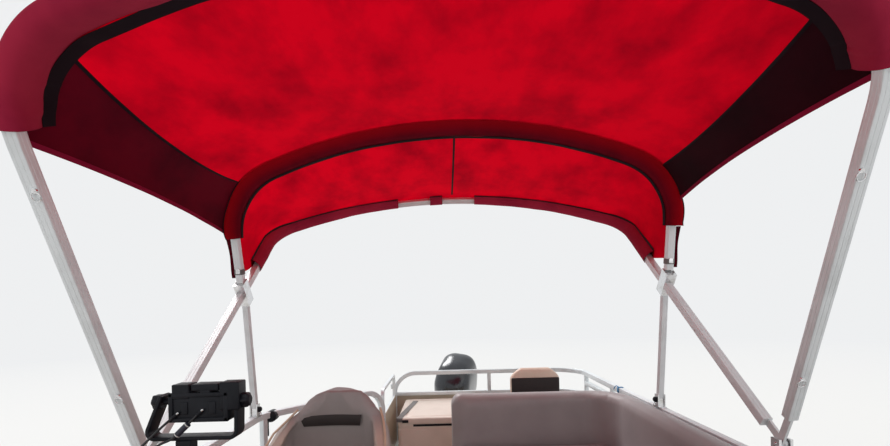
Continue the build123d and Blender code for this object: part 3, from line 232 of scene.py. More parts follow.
def slab(low, high, r=0.004, turn=0.0, about=(0, 0)):
    # a block with rounded edges: rounded loops in plan, drawn in at the top and foot
    low, high = np.array(low, dtype=float), np.array(high, dtype=float)
    r = min(r, *((high - low) / 2.01))
    a = np.linspace(0, pi / 2, 4)
    inset = np.concatenate([r * (1 - np.sin(a)), (r * (1 - np.sin(a)))[::-1]])
    level = np.concatenate([low[2] + r * (1 - np.cos(a)), (high[2] - r * (1 - np.cos(a)))[::-1]])
    middle = (low[:2] + high[:2]) / 2
    wide, long = high[:2] - low[:2]
    loops = np.stack([roundedLoop(wide - 2 * k, long - 2 * k, max(r * 1.01 - k, r * 0.01)) for k in inset])
    plan = loops + middle
    c, s = cos(turn), sin(turn)
    plan = (plan - np.array(about)) @ np.array([[c, s], [-s, c]]) + np.array(about)
    rows = np.concatenate([plan, np.broadcast_to(level[:, None, None], plan.shape[:2] + (1,))], axis=2)
    return lofted(rows)


# Finishes. Each is a Principled surface with its own grain, stains and wear.


def link(tree, source, target):
    tree.links.new(source, target)


def newFinish(name, colour, rough, metal=0.0, coat=0.0, sheen=0.0, shine=0.5):
    finish = bpy.data.materials.new(name)
    finish.use_nodes = True
    tree = finish.node_tree
    shader = next(n for n in tree.nodes if n.type == "BSDF_PRINCIPLED")
    shader.inputs["Base Color"].default_value = (*colour, 1)
    shader.inputs["Roughness"].default_value = rough
    shader.inputs["Metallic"].default_value = metal
    shader.inputs["Specular IOR Level"].default_value = shine
    shader.inputs["Coat Weight"].default_value = coat
    shader.inputs["Coat Roughness"].default_value = 0.12
    shader.inputs["Sheen Weight"].default_value = sheen
    return finish, tree, shader


def place(tree, kind="Object", scale=(1, 1, 1), turn=(0, 0, 0)):
    where = tree.nodes.new("ShaderNodeTexCoord")
    fit = tree.nodes.new("ShaderNodeMapping")
    fit.inputs["Scale"].default_value = scale
    fit.inputs["Rotation"].default_value = turn
    link(tree, where.outputs[kind], fit.inputs["Vector"])
    return fit.outputs["Vector"]


def noise(tree, vector, scale, detail=3.0, rough=0.55):
    node = tree.nodes.new("ShaderNodeTexNoise")
    node.inputs["Scale"].default_value = scale
    node.inputs["Detail"].default_value = detail
    node.inputs["Roughness"].default_value = rough
    link(tree, vector, node.inputs["Vector"])
    return node.outputs["Fac"]


def cells(tree, vector, scale):
    node = tree.nodes.new("ShaderNodeTexVoronoi")
    node.inputs["Scale"].default_value = scale
    link(tree, vector, node.inputs["Vector"])
    return node.outputs["Distance"]


def waves(tree, vector, scale, direction="X", distortion=0.0):
    node = tree.nodes.new("ShaderNodeTexWave")
    node.bands_direction = direction
    node.inputs["Scale"].default_value = scale
    node.inputs["Distortion"].default_value = distortion
    link(tree, vector, node.inputs["Vector"])
    return node.outputs["Fac"]


def ranged(tree, value, low, high, fromLow=0.0, fromHigh=1.0):
    node = tree.nodes.new("ShaderNodeMapRange")
    for name, number in (("From Min", fromLow), ("From Max", fromHigh), ("To Min", low), ("To Max", high)):
        node.inputs[name].default_value = number
    link(tree, value, node.inputs["Value"])
    return node.outputs["Result"]


def sums(tree, a, b, way="ADD"):
    node = tree.nodes.new("ShaderNodeMath")
    node.operation = way
    link(tree, a, node.inputs[0])
    if isinstance(b, (int, float)):
        node.inputs[1].default_value = b
    else:
        link(tree, b, node.inputs[1])
    return node.outputs["Value"]


def blendColours(tree, factor, a, b):
    node = tree.nodes.new("ShaderNodeMix")
    node.data_type = "RGBA"
    sockets = [s for s in node.inputs if s.enabled]
    link(tree, factor, sockets[0])
    for socket, colour in zip(sockets[1:], (a, b)):
        if isinstance(colour, tuple):
            socket.default_value = (*colour, 1)
        else:
            link(tree, colour, socket)
    return next(s for s in node.outputs if s.enabled)


def bump(tree, shader, height, strength, depth):
    node = tree.nodes.new("ShaderNodeBump")
    node.inputs["Strength"].default_value = strength
    node.inputs["Distance"].default_value = depth
    link(tree, height, node.inputs["Height"])
    link(tree, node.outputs["Normal"], shader.inputs["Normal"])
    return node.outputs["Normal"]


def wornFinish(name, colour, stain, rough, spread=0.08, metal=0.0, coat=0.0, sheen=0.0, stainScale=4.0,
               grainScale=400.0, grainDepth=0.0004, grain="noise", stretch=(1, 1, 1), stainShare=(0.45, 0.75),
               shine=0.5):
    # base colour with a soft stain through it, roughness that follows the same noise, and a fine grain
    finish, tree, shader = newFinish(name, colour, rough, metal, coat, sheen, shine)
    where = place(tree, scale=stretch)
    patch = ranged(tree, noise(tree, where, stainScale, 5.0), 0.0, 1.0, *stainShare)
    link(tree, blendColours(tree, patch, colour, stain), shader.inputs["Base Color"])
    fine = cells(tree, where, grainScale) if grain == "cells" else noise(tree, where, grainScale, 2.0)
    worn = ranged(tree, noise(tree, where, stainScale * 3), rough - spread, rough + spread)
    link(tree, worn, shader.inputs["Roughness"])
    bump(tree, shader, fine, 0.35, grainDepth)
    return finish


def canvasFinish(name, colour, stain, through, stainScale=3.2, edge=None):
    # woven cloth by its own uv, in metres, with mildew patches; part of the light comes through
    finish, tree, shader = newFinish(name, colour, 0.9, shine=0.12)
    where = place(tree, "UV")
    broad = noise(tree, place(tree, "Object", (1.0, 1.6, 1.0)), stainScale, 6.0, 0.62)
    patch = ranged(tree, broad, 0.0, 1.0, 0.40, 0.68)
    threads = sums(tree, waves(tree, where, 260.0, "X"), waves(tree, where, 260.0, "Y"), "MULTIPLY")
    slub = sums(tree, threads, noise(tree, where, 40.0, 4.0))
    dyed = blendColours(tree, patch, colour, stain)
    if edge:
        # the edge colour fades into the cloth over the first part of the width: painted shading from a lit
        # edge into shade
        litEdgeColour, reach = edge
        parts = tree.nodes.new("ShaderNodeSeparateXYZ")
        link(tree, where, parts.inputs["Vector"])
        dyed = blendColours(tree, ranged(tree, parts.outputs["X"], 0.0, 1.0, 0.0, reach), litEdgeColour, dyed)
    link(tree, dyed, shader.inputs["Base Color"])
    normal = bump(tree, shader, slub, 0.3, 0.0005)
    if through:
        glow = tree.nodes.new("ShaderNodeBsdfTranslucent")
        mix = tree.nodes.new("ShaderNodeMixShader")
        mix.inputs["Fac"].default_value = through
        link(tree, dyed, glow.inputs["Color"])
        link(tree, normal, glow.inputs["Normal"])
        link(tree, shader.outputs["BSDF"], mix.inputs[1])
        link(tree, glow.outputs["BSDF"], mix.inputs[2])
        output = next(n for n in tree.nodes if n.type == "OUTPUT_MATERIAL")
        link(tree, mix.outputs["Shader"], output.inputs["Surface"])
    return finish


def helmVinylShadeAndSunlitEdgeFinish():
    # the seat's vinyl is painted lighter toward the front edges of its wings as painted sunlight, over a grey
    # base that is the tan vinyl's painted shaded colour
    finish = wornFinish("helmVinylShadeAndSunlitEdge", (0.345, 0.310, 0.305), (0.29, 0.26, 0.256), 0.44, 0.07, sheen=0.1,
                        stainScale=3.0, **vinylGrain)
    tree = finish.node_tree
    shader = next(n for n in tree.nodes if n.type == "BSDF_PRINCIPLED")
    dyed = shader.inputs["Base Color"].links[0].from_socket
    parts = tree.nodes.new("ShaderNodeSeparateXYZ")
    link(tree, place(tree), parts.inputs["Vector"])
    # painted sunlight: the blend toward cream over the front of the wings
    share = ranged(tree, parts.outputs["X"], 0.0, 0.85, 0.262, 0.330)
    link(tree, blendColours(tree, share, dyed, (0.62, 0.50, 0.42)), shader.inputs["Base Color"])
    return finish


def deckFinish():
    # woven flooring: two crossed waves in plan, with scuffs
    finish, tree, shader = newFinish("deckWeave", (0.36, 0.31, 0.26), 0.8)
    where = place(tree)
    weave = sums(tree, waves(tree, where, 60.0, "X"), waves(tree, where, 60.0, "Y"))
    scuff = ranged(tree, noise(tree, where, 2.5, 6.0), 0.0, 1.0, 0.35, 0.75)
    tone = ranged(tree, weave, 0.0, 1.0, 0.0, 2.0)
    woven = blendColours(tree, tone, (0.25, 0.205, 0.17), (0.43, 0.38, 0.32))
    link(tree, blendColours(tree, scuff, woven, (0.36, 0.34, 0.31)), shader.inputs["Base Color"])
    bump(tree, shader, weave, 0.4, 0.001)
    return finish


def plyFinish():
    # plywood: thin layers by height, grain along the length
    finish, tree, shader = newFinish("deckPly", (0.42, 0.30, 0.18), 0.7)
    layers = waves(tree, place(tree), 60.0, "Z")
    grain = noise(tree, place(tree, scale=(2, 24, 24)), 6.0, 5.0)
    tone = sums(tree, layers, grain, "MULTIPLY")
    link(tree, blendColours(tree, tone, (0.20, 0.13, 0.07), (0.46, 0.34, 0.21)), shader.inputs["Base Color"])
    bump(tree, shader, grain, 0.3, 0.0006)
    return finish


def hullFinish():
    # rolled aluminium: fine lines along the tube, a chalky tide mark on the lower half
    finish, tree, shader = newFinish("hullMetal", (0.66, 0.67, 0.69), 0.42, metal=1.0)
    lines = noise(tree, place(tree, scale=(1.5, 60, 60)), 5.0, 4.0)
    split = tree.nodes.new("ShaderNodeSeparateXYZ")
    link(tree, place(tree), split.inputs["Vector"])
    ripple = noise(tree, place(tree, scale=(1, 1, 0.3)), 7.0, 4.0)
    height = sums(tree, split.outputs["Z"], sums(tree, ripple, 0.12, "MULTIPLY"))
    scum = ranged(tree, height, 1.0, 0.0, 0.30, 0.42)
    link(tree, blendColours(tree, scum, (0.70, 0.71, 0.73), (0.46, 0.45, 0.42)), shader.inputs["Base Color"])
    link(tree, ranged(tree, sums(tree, lines, sums(tree, scum, 0.5, "MULTIPLY")), 0.28, 0.62, 0.2, 1.2),
         shader.inputs["Roughness"])
    bump(tree, shader, lines, 0.25, 0.0006)
    return finish


vinylGrain = {"grainScale": 520.0, "grainDepth": 0.0005, "grain": "cells"}
finishes = {
    "canvas": canvasFinish("canopyRed", (0.47, 0.0, 0.008), (0.25, 0.0, 0.006), 0.72),
    "curtain": canvasFinish("curtainRed", (0.085, 0.0, 0.006), (0.040, 0.0, 0.004), 0.25),
    # the port curtain: the same cloth as the starboard curtain, darker as painted shade
    "shadedPortCurtain": canvasFinish("portCurtainShadedRed", (0.022, 0.0, 0.003), (0.012, 0.0, 0.002), 0.12),
    "hem": canvasFinish("hemRed", (0.30, 0.008, 0.045), (0.22, 0.006, 0.034), 0.15),
    # the sleeves' paler, pinker red is painted front light on the canopy's red cloth
    "sleeve": canvasFinish("sleeveFrontLitRed", (0.40, 0.020, 0.055), (0.30, 0.012, 0.042), 0.10),
    # the middle pocket's dull red is painted shade on its underside, fading to the canopy's red at its edge
    # as painted shading
    "midSleeveShaded": canvasFinish("bandShadedRed", (0.20, 0.0, 0.012), (0.13, 0.0, 0.009), 0.20,
                              edge=((0.46, 0.0, 0.008), 0.070)),
    "tape": wornFinish("blackTape", (0.010, 0.003, 0.006), (0.022, 0.010, 0.014), 0.8,
                       grainScale=600.0, shine=0.1),
    "tube": wornFinish("canopyTube", (0.73, 0.755, 0.77), (0.62, 0.64, 0.65), 0.42, 0.08, metal=0.15,
                       stainScale=9.0, grainScale=140.0, grainDepth=0.0002),
    "rail": wornFinish("railTube", (0.80, 0.86, 0.88), (0.68, 0.73, 0.75), 0.36, 0.10, metal=0.2,
                       stainScale=8.0, grainScale=160.0, grainDepth=0.0002),
    "hull": hullFinish(),
    "mill": wornFinish("millBar", (0.60, 0.61, 0.62), (0.42, 0.42, 0.42), 0.5, metal=1.0, stainScale=10.0),
    "trim": wornFinish("edgeTrim", (0.78, 0.78, 0.79), (0.60, 0.60, 0.60), 0.36, metal=1.0, stainScale=7.0),
    "bright": wornFinish("brightSteel", (0.70, 0.70, 0.71), (0.50, 0.49, 0.47), 0.24, 0.08, metal=1.0,
                         stainScale=30.0, grainScale=300.0, grainDepth=0.0002),
    "ply": plyFinish(),
    "floor": deckFinish(),
    "paint": wornFinish("skinPaint", (0.62, 0.53, 0.42), (0.50, 0.43, 0.35), 0.38, 0.06, coat=0.3,
                        stainScale=1.6, grainScale=220.0, grainDepth=0.0003),
    # the tan vinyl's shaded copy: its grey colour is painted shade
    "vinyl": wornFinish("shadedTanVinyl", (0.345, 0.318, 0.322), (0.29, 0.265, 0.27), 0.44, 0.07, sheen=0.1,
                        stainScale=3.0, **vinylGrain),
    "helmVinylShadeAndSunlitEdge": helmVinylShadeAndSunlitEdgeFinish(),
    "cream": wornFinish("creamVinyl", (0.66, 0.50, 0.36), (0.56, 0.42, 0.31), 0.46, 0.06, sheen=0.15,
                        stainScale=4.0, **vinylGrain),
    # the same vinyl's sunlit copy: its light tan is painted sunlight
    "tan": wornFinish("sunlitTanVinyl", (0.84, 0.70, 0.57), (0.74, 0.61, 0.50), 0.5, 0.06, sheen=0.1,
                      stainScale=4.0, **vinylGrain),
    "blackVinyl": wornFinish("blackVinyl", (0.030, 0.024, 0.024), (0.045, 0.038, 0.036), 0.5, 0.06,
                             shine=0.25, grainScale=520.0, grainDepth=0.0004, grain="cells"),
    "base": wornFinish("mouldedBase", (0.50, 0.42, 0.34), (0.40, 0.33, 0.27), 0.5, 0.06, stainScale=2.2,
                       grainScale=260.0, grainDepth=0.0004),
    "box": wornFinish("boxPlastic", (0.78, 0.68, 0.60), (0.70, 0.60, 0.52), 0.42, 0.07, stainScale=5.0,
                      grainScale=200.0, grainDepth=0.0005),
    "black": wornFinish("blackPlastic", (0.006, 0.007, 0.011), (0.012, 0.013, 0.018), 0.45, 0.08,
                        stainScale=18.0, grainScale=500.0, grainDepth=0.0003, shine=0.22),
    "grip": wornFinish("wheelGrip", (0.02, 0.02, 0.021), (0.035, 0.035, 0.035), 0.6, grainScale=700.0),
    "cowl": wornFinish("cowlGloss", (0.012, 0.015, 0.022), (0.020, 0.025, 0.034), 0.22, 0.05, coat=0.35,
                       stainScale=6.0, grainScale=90.0, grainDepth=0.0001),
    "casting": wornFinish("motorEnamel", (0.028, 0.032, 0.042), (0.05, 0.055, 0.065), 0.36, 0.07, coat=0.3,
                          stainScale=8.0, grainScale=260.0, grainDepth=0.0003),
    # grey of the leg straps, also used for the painted shadow strip on the box lid
    "webbingAndShadow": wornFinish("greyWebbingAndShadow", (0.17, 0.16, 0.155), (0.12, 0.115, 0.11), 0.75, grainScale=500.0,
                          grainDepth=0.0006),
    "blue": wornFinish("blueTie", (0.02, 0.24, 0.50), (0.02, 0.17, 0.38), 0.4, grainScale=400.0),
    "label": wornFinish("darkTag", (0.015, 0.018, 0.035), (0.03, 0.03, 0.05), 0.35, grainScale=300.0),
    "cable": wornFinish("blackCable", (0.014, 0.014, 0.017), (0.03, 0.03, 0.034), 0.46, 0.08, stainScale=30.0,
                        grainScale=600.0, grainDepth=0.0002),
    "white": wornFinish("whiteLine", (0.70, 0.70, 0.68), (0.55, 0.55, 0.53), 0.5, grainScale=300.0),
}

# Finish of each CAD node that stays in view
nodeFinish = {
    "pontoon_port": "hull", "pontoon_starboard": "hull", "motor_pod": "hull", "crossmembers": "mill",
    "deck_board": "ply", "deck_flooring": "floor", "deck_trim": "trim", "deck_fittings": "bright",
    "canopy_fittings": "bright", "couch_base": "base", "seat_pedestals": "bright",
    "console_body": "base", "steering_column": "black", "steering_wheel": "grip", "throttle": "black",
    "ladder": "trim", "motor_clamp": "casting", "motor_swivel": "casting",
    "motor_leg": "casting", "propeller": "casting", "gate_lugs": "bright",
}
for name, thing in nodes.items():
    key = nodeFinish.get(name, "paint" if name.endswith(("_skin", "_panel")) else "rail")
    thing.data.materials.clear()
    thing.data.materials.append(finishes[key])
print("finishes made")


# Canopy. Bows are leg, corner, crown, corner and leg, all tangent, in a plane that leans.
canopy = {
    "pivotX": 0.552, "pivotZ": deckZ + 0.780, "half": 1.170, "tube": 0.038, "groove": 0.0006,
    "jointUp": 1.080, "jointOut": 0.036, "legStart": 0.092, "midStart": 0.022,
    "tongue": {"long": 0.122, "half": 0.015, "thick": 0.010, "inset": 0.007},
    "fore": {"lean": 25.6, "crown": 1.563, "big": 3.350, "small": 0.310, "roll": 1.4, "toe": (0.022, 0.057)},
    "mid": {"lean": 12.0, "crown": 0.792, "big": 2.650, "small": 0.360, "roll": 0.8, "toe": (0, 0)},
    "aft": {"lean": -53.9, "crown": 2.249, "big": 1.650, "small": 0.300, "roll": 0.4, "toe": (0, 0)},
}


def bowFoot(name):
    aft = radians(canopy["aft"]["lean"])
    foot = np.array([canopy["pivotX"], 0, canopy["pivotZ"]])
    if name == "mid":
        foot = foot + np.array([sin(aft), 0, cos(aft)]) * canopy["jointUp"]
        foot = foot + np.array([cos(aft), 0, -sin(aft)]) * canopy["jointOut"]
    return foot


def bowFrame(name):
    lean = radians(canopy[name]["lean"])
    return np.array([sin(lean), 0, cos(lean)]), np.array([cos(lean), 0, -sin(lean)])


def bowLine(name, off=0.0, low=(0.1, 0.1), ahead=0.0, count=(60, 44), bend=90.0):
    # From the starboard leg over the crown to the port leg, moved out by off; low is where each leg stops.
    # Down each side, by distance s: crown arc, corner arc, leg. count[1] points lie above the corner's bend
    # angle and count[0] below it. The legs lean inward by toe, as a share of the half width at the crown.
    bow = canopy[name]
    half, crown = canopy["half"] + off, bow["crown"] + off
    big = bow["big"] + off
    small = bow["small"] + off
    cornerV = crown - big + sqrt((big - small) ** 2 - (half - small) ** 2)
    spread = atan2(half - small, cornerV - crown + big)
    first = big * spread
    second = first + small * (pi / 2 - spread)
    turn = first + small * (radians(bend) - spread)
    sides = []
    for stop, toe in zip(low, bow["toe"]):
        end = second - small * asin((stop - cornerV) / small) if stop > cornerV else second + cornerV - stop
        s = np.concatenate([np.linspace(0, turn, count[1]), np.linspace(turn, end, count[0])[1:]])
        t = np.clip(spread + (s - first) / small, spread, pi / 2)
        u = np.where(s < first, big * np.sin(s / big), half - small + small * np.sin(t))
        v = np.where(s < first, crown - big + big * np.cos(s / big),
                     cornerV + small * np.cos(t) - np.clip(s - second, 0, None))
        sides.append(np.stack([u * (1 - toe * v / crown), v], axis=1))
    starboard = sides[0][::-1] * np.array([-1, 1])
    flat = np.concatenate([starboard[:-1], sides[1]])
    roll = radians(bow["roll"])
    u = flat[:, 0] * cos(roll) - flat[:, 1] * sin(roll)
    v = flat[:, 0] * sin(roll) + flat[:, 1] * cos(roll)
    up, normal = bowFrame(name)
    return bowFoot(name) + np.outer(v, up) + np.outer(u, [0, 1, 0]) + normal * ahead


def groovedLoop(size, depth, r=0.003):
    # a square with rounded corners and two shallow grooves on each face
    side = size / 2
    a = np.linspace(0, pi / 2, 4)
    corner = np.stack([side - r + r * np.cos(a), side - r + r * np.sin(a)], axis=1)
    groove = []
    for middle in (0.38, -0.38):
        for step, sink in ((0.10, 0), (0.05, depth), (-0.05, depth), (-0.10, 0)):
            groove.append(((middle + step) * side, side - sink))
    quarter = np.concatenate([corner, np.array(groove)])
    return np.concatenate([quarter @ t.T for t in quarters])


def tongueShape(name, side):
    # the flat end of a leg with its round eye
    up, normal = bowFrame(name)
    tongue = canopy["tongue"]
    inset = -tongue["inset"] if name == "fore" else tongue["inset"]
    foot = bowFoot(name) + np.array([0, side * (canopy["half"] + inset), 0])
    long, half = up * tongue["long"], tongue["half"]
    arc = [foot + normal * half * sin(t) + up * half * cos(t) for t in np.linspace(pi / 2, 3 * pi / 2, 13)]
    outline = np.array([foot + long + normal * half, *arc, foot + long - normal * half])
    both = np.stack([outline + np.array([0, y, 0]) for y in (-tongue["thick"] / 2, tongue["thick"] / 2)])
    return lofted(both)


def makeBows():
    loop = groovedLoop(canopy["tube"], canopy["groove"])
    bodies = {"fore": "fore_bow", "mid": "root", "aft": "root"}
    for name, body in bodies.items():
        start = canopy["midStart" if name == "mid" else "legStart"]
        line = bowLine(name, low=(start, start))
        normal = bowFrame(name)[1]
        shapes = [squareTube(line, loop, normal)]
        if name != "mid":
            shapes += [tongueShape(name, side) for side in (-1, 1)]
        piece("bowTube" + name.title(), shapes, "tube", body,
              ("canopy_" + name + "_bow",), sharp=28)


makeBows()
print("bows made")


# Canvas: ends are (bow, where each side stops, shift, bend angle of the side seam). sag is the dip between
# bows; at midspan the side seams lie lower by drop and the hems higher by rise, starboard and port.
canvas = {
    "off": 0.027, "crease": 0.0022, "count": (26, 48),
    "fore": {"ends": (("fore", (1.150, 1.208), 0.0, 27.0), ("mid", (0.290, 0.372), 0.01, 44.0)),
             "sag": 0.030, "rows": 46, "curtains": True, "drop": (0.062, 0.034), "rise": (0.026, 0.034)},
    "aft": {"ends": (("mid", (0.085, 0.085), -0.004, 60.0), ("aft", (1.330, 1.310), 0.012, 60.0)),
            "sag": 0.024, "rows": 34, "curtains": False, "drop": (0, 0), "rise": (0, 0)},
}


def creases(points, out, depth, seed):
    # fine folds: sines across the sheet whose direction turns slowly, strongest by the corners
    rng = np.random.default_rng(seed)
    x, y, z = points[..., 0], points[..., 1], points[..., 2]
    total = np.zeros(x.shape)
    for k in range(9):
        heading, pitch, phase = rng.uniform(0, pi), rng.uniform(9, 34), rng.uniform(0, 2 * pi)
        along = x * cos(heading) + y * sin(heading) + 0.6 * z
        total += np.sin(pitch * along + phase + 1.3 * np.sin(3 * y + k)) * 6 / pitch / 3
    side = np.clip((np.abs(y) - 0.55) / 0.5, 0, 1)
    return points + out * (depth[..., 0] * total * (0.6 + 1.6 * side))[..., None]


def sheetNormals(points):
    rows, cols = np.gradient(points, axis=0), np.gradient(points, axis=1)
    out = unit(np.cross(cols, rows))
    middle = points.mean(axis=(0, 1)) - np.array([0, 0, 0.9])
    return out * np.sign(((points - middle) * out).sum(axis=-1, keepdims=True))


def slid(points, arch, drop, rise):
    # columns moved along their rows, most at midspan, so that the side seams curve down and the hems up
    edge = canvas["count"][0] - 1
    moved = points.copy()
    for row, share in enumerate(arch):
        line = points[row]
        run = runAlong(line)
        knots = run[[0, edge, len(run) // 2, -1 - edge, -1]]
        shift = share * np.array([rise[0], -drop[0], 0, drop[1], -rise[1]])
        moved[row] = atRun(line, np.interp(run, knots, knots + shift))
    return moved


def canvasGrid(which):
    spec = canvas[which]
    lines = [bowLine(bow, canvas["off"], low, ahead, canvas["count"], bend)
             for bow, low, ahead, bend in spec["ends"]]
    t = np.linspace(0, 1, spec["rows"])[:, None, None]
    points = lines[0] * (1 - t) + lines[1] * t
    points = slid(points, (4 * t * (1 - t)).ravel(), spec["drop"], spec["rise"])
    out = sheetNormals(points)
    dip = spec["sag"] * (4 * t * (1 - t)) * (0.35 + 0.65 * np.clip(out[..., 2:], 0, 1))
    points = points - out * dip
    return creases(points, out, canvas["crease"] * (4 * t * (1 - t)) ** 0.5, len(which)), out


def curtainColumns(points):
    # the side curtains are the columns below the bend
    edge = canvas["count"][0] - 1
    return edge, points.shape[1] - 1 - edge


def makeCanvas(which, node, body):
    points, out = canvasGrid(which)
    top = piece("canopy" + which.title(), [gridShape(points)], "canvas", body, (node,),
                sharp=180, ride=which != "fore")
    if canvas[which]["curtains"]:
        for key in ("curtain", "shadedPortCurtain"):
            top.data.materials.append(finishes[key])
        low, high = curtainColumns(points)
        column = np.tile(np.arange(points.shape[1] - 1), points.shape[0] - 1)
        # starboard curtain columns take material 1; port curtain columns take material 2, the painted shade
        # copy
        curtainShadeIndex = (column < low) + 2 * (column >= high).astype(np.int32)
        top.data.polygons.foreach_set("material_index", curtainShadeIndex.astype(np.int32))
    return top, points, out


foreTop, forePoints, foreOut = makeCanvas("fore", "canvas_fore", "root")
aftPoints, aftOut = makeCanvas("aft", "canvas_aft", "root")[1:]
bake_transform(foreTop)


def softLoop(corners, count=44, passes=5):
    # a closed outline resampled at even steps and eased by averaging neighbours
    ring = np.array(corners + [corners[0]], dtype=float)
    loop = atRun(ring, np.linspace(0, runAlong(ring)[-1], count, endpoint=False))
    for _ in range(passes):
        loop = (np.roll(loop, 1, axis=0) + 2 * loop + np.roll(loop, -1, axis=0)) / 4
    return loop


# Pockets that hold the bows. Outlines lie on (along the canvas, outward) from the tube's middle. bare gives
# the places along Y where a pocket is cut away; tape is each black edge's middle, width and level, and drift
# how far it wanders.
pockets = {
    "fore": {"bow": "fore", "toward": "mid", "low": (1.168, 1.213), "body": "fore_bow", "finish": "sleeve",
             "drift": 0.007, "bare": [], "tape": [(0.117, 0.044, 0.004)],
             "outline": [(-0.030, 0.024), (-0.034, -0.004), (-0.020, -0.029), (0.012, -0.030),
                         (0.060, -0.016), (0.118, 0.018), (0.118, 0.024), (0.040, 0.030)]},
    "mid": {"bow": "mid", "toward": "aft", "low": (0.282, 0.262), "body": "root", "finish": "midSleeveShaded",
            "drift": 0.007, "bare": [], "tape": [(0.016, 0.022, -0.0335), (-0.088, 0.008, 0.014)],
            "outline": [(-0.085, 0.022), (-0.045, -0.014), (-0.015, -0.030), (0.020, -0.030), (0.045, -0.012),
                        (0.080, 0.020), (0.078, 0.025), (-0.080, 0.026)]},
    "aft": {"bow": "aft", "toward": "mid", "low": (1.345, 1.318), "body": "root", "finish": "sleeve",
            "drift": 0.009, "bare": [(-0.389, -0.161), (-0.060, 0.170)], "tape": [(0.066, 0.020, 0.012)],
            "outline": [(-0.027, 0.012), (-0.026, -0.014), (-0.010, -0.028), (0.016, -0.026), (0.046, -0.006),
                        (0.068, 0.020), (0.066, 0.024), (0.000, 0.030), (-0.020, 0.026)]},
}
pocketCloth = {"thick": 0.0016, "wave": 0.016, "lip": 0.1, "lift": 0.35}


def alongCanvas(bow, other, low):
    # frames by the bow: toward the other bow, and outward from the sheet between them
    line = bowLine(bow, 0.0, low, 0.0, (40, 110), 60.0)
    spanLow = {"fore": (1.1, 1.1), "mid": (0.1, 0.1), "aft": (1.2, 1.2)}
    far = bowLine(other, 0.0, spanLow[other], 0.0, (40, 110), 60.0)
    ahead = tangents(line)
    toward = far - line
    toward = unit(toward - (toward * ahead).sum(axis=1, keepdims=True) * ahead)
    out = np.cross(ahead, toward)
    middle = line.mean(axis=0) - np.array([0, 0, 0.6])
    out = out * np.sign(((line - middle) * out).sum(axis=1, keepdims=True))
    return line, toward, unit(out)


def coveredRuns(line, bare):
    # stretches of the line outside every bare place
    shown = np.ones(len(line), dtype=bool)
    for low, high in bare:
        shown &= (line[:, 1] < low) | (line[:, 1] > high)
    cuts = np.flatnonzero(np.diff(shown.astype(int))) + 1
    return [run for run in np.split(np.arange(len(line)), cuts) if shown[run[0]]]


def makePocket(name):
    spec = pockets[name]
    line, toward, out = alongCanvas(spec["bow"], spec["toward"], spec["low"])
    loop = softLoop(spec["outline"])
    rng = np.random.default_rng(5)
    run = np.linspace(0, 1, len(line))
    wave = sum(np.sin(2 * pi * f * run + rng.uniform(0, 6)) / f for f in (5, 9, 14, 23, 31))
    wave *= pocketCloth["wave"]
    loops = np.broadcast_to(loop, (len(line),) + loop.shape).copy()
    slack = np.clip(loop[:, 0] / pocketCloth["lip"], 0, 1)
    loops[..., 0] += wave[:, None] * slack
    loops[..., 1] += np.roll(wave, 7)[:, None] * pocketCloth["lift"] * (1 - slack) * (loop[:, 1] < 0)
    points = line[:, None] + toward[:, None] * loops[..., :1] + out[:, None] * loops[..., 1:]
    runs = coveredRuns(line, spec["bare"])
    thing = piece("pocket" + name.title(), [gridShape(points[run], wrapCols=True) for run in runs],
                  spec["finish"], spec["body"], sharp=180)
    thick = thing.modifiers.new("cloth", "SOLIDIFY")
    thick.thickness, thick.offset = pocketCloth["thick"], 0
    drift = waver(len(line), 11 + len(name))[:, None] * spec["drift"]
    ribbons = []
    for at, wide, level in spec["tape"]:
        path = line + toward * (at + drift) + out * level
        ribbons += [strip(path[run], toward[run], -out[run], wide) for run in runs]
    piece("tape" + name.title(), ribbons, "tape", spec["body"], sharp=60)


def strip(path, across, out, wide, thick=0.0012):
    # a flat ribbon with its width on across, standing off by its thickness
    loop = np.array([[-wide / 2, 0], [wide / 2, 0], [wide / 2, thick], [-wide / 2, thick]])
    return lofted(carry(path, across, out, loop))


def waver(count, seed, tones=(3, 7, 12, 19)):
    rng = np.random.default_rng(seed)
    run = np.linspace(0, 1, count)
    return sum(np.sin(2 * pi * f * run + rng.uniform(0, 6)) / f for f in tones)


for name in pockets:
    makePocket(name)

seams = {"rows": slice(3, -3), "under": 0.0035, "wide": 0.012, "taper": 0.7}
hem = {"in": 0.008, "under": 0.002, "wide": 0.018}


def makeSeams():
    # a tape under each line where the top meets a side curtain, narrower aft, and a hem at the curtains' feet
    rows = seams["rows"]
    shapes = []
    for edge in curtainColumns(forePoints):
        out = foreOut[rows, edge]
        path = forePoints[rows, edge] - out * seams["under"]
        taper = np.linspace(1.0, seams["taper"], len(path))[:, None]
        shapes.append(strip(path, unit(np.cross(tangents(path), out)) * taper, -out, seams["wide"]))
    seam = piece("curtainSeams", shapes, "tape", sharp=60, ride=False)
    hems = []
    for column, side in ((0, 1), (-1, -1)):
        down = unit(forePoints[:, column] - forePoints[:, column + side])
        path = forePoints[:, column] - down * hem["in"] - foreOut[:, column] * hem["under"]
        hems.append(strip(path, down, -foreOut[:, column], hem["wide"]))
    edging = piece("curtainHems", hems, "hem", sharp=60, ride=False)
    for thing in (seam, edging):
        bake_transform(thing)


makeSeams()
print("canvas made")


# Rails: square tube hoops with slim rails and posts, in the CAD frames' places
rails = {"size": 0.038, "slim": 0.033, "groove": 0.0012, "topH": 0.700, "sink": 0.016,
         "panelTop": 0.490, "panelFoot": 0.036, "secondH": 0.600, "secondX": (-1.888, -0.567)}
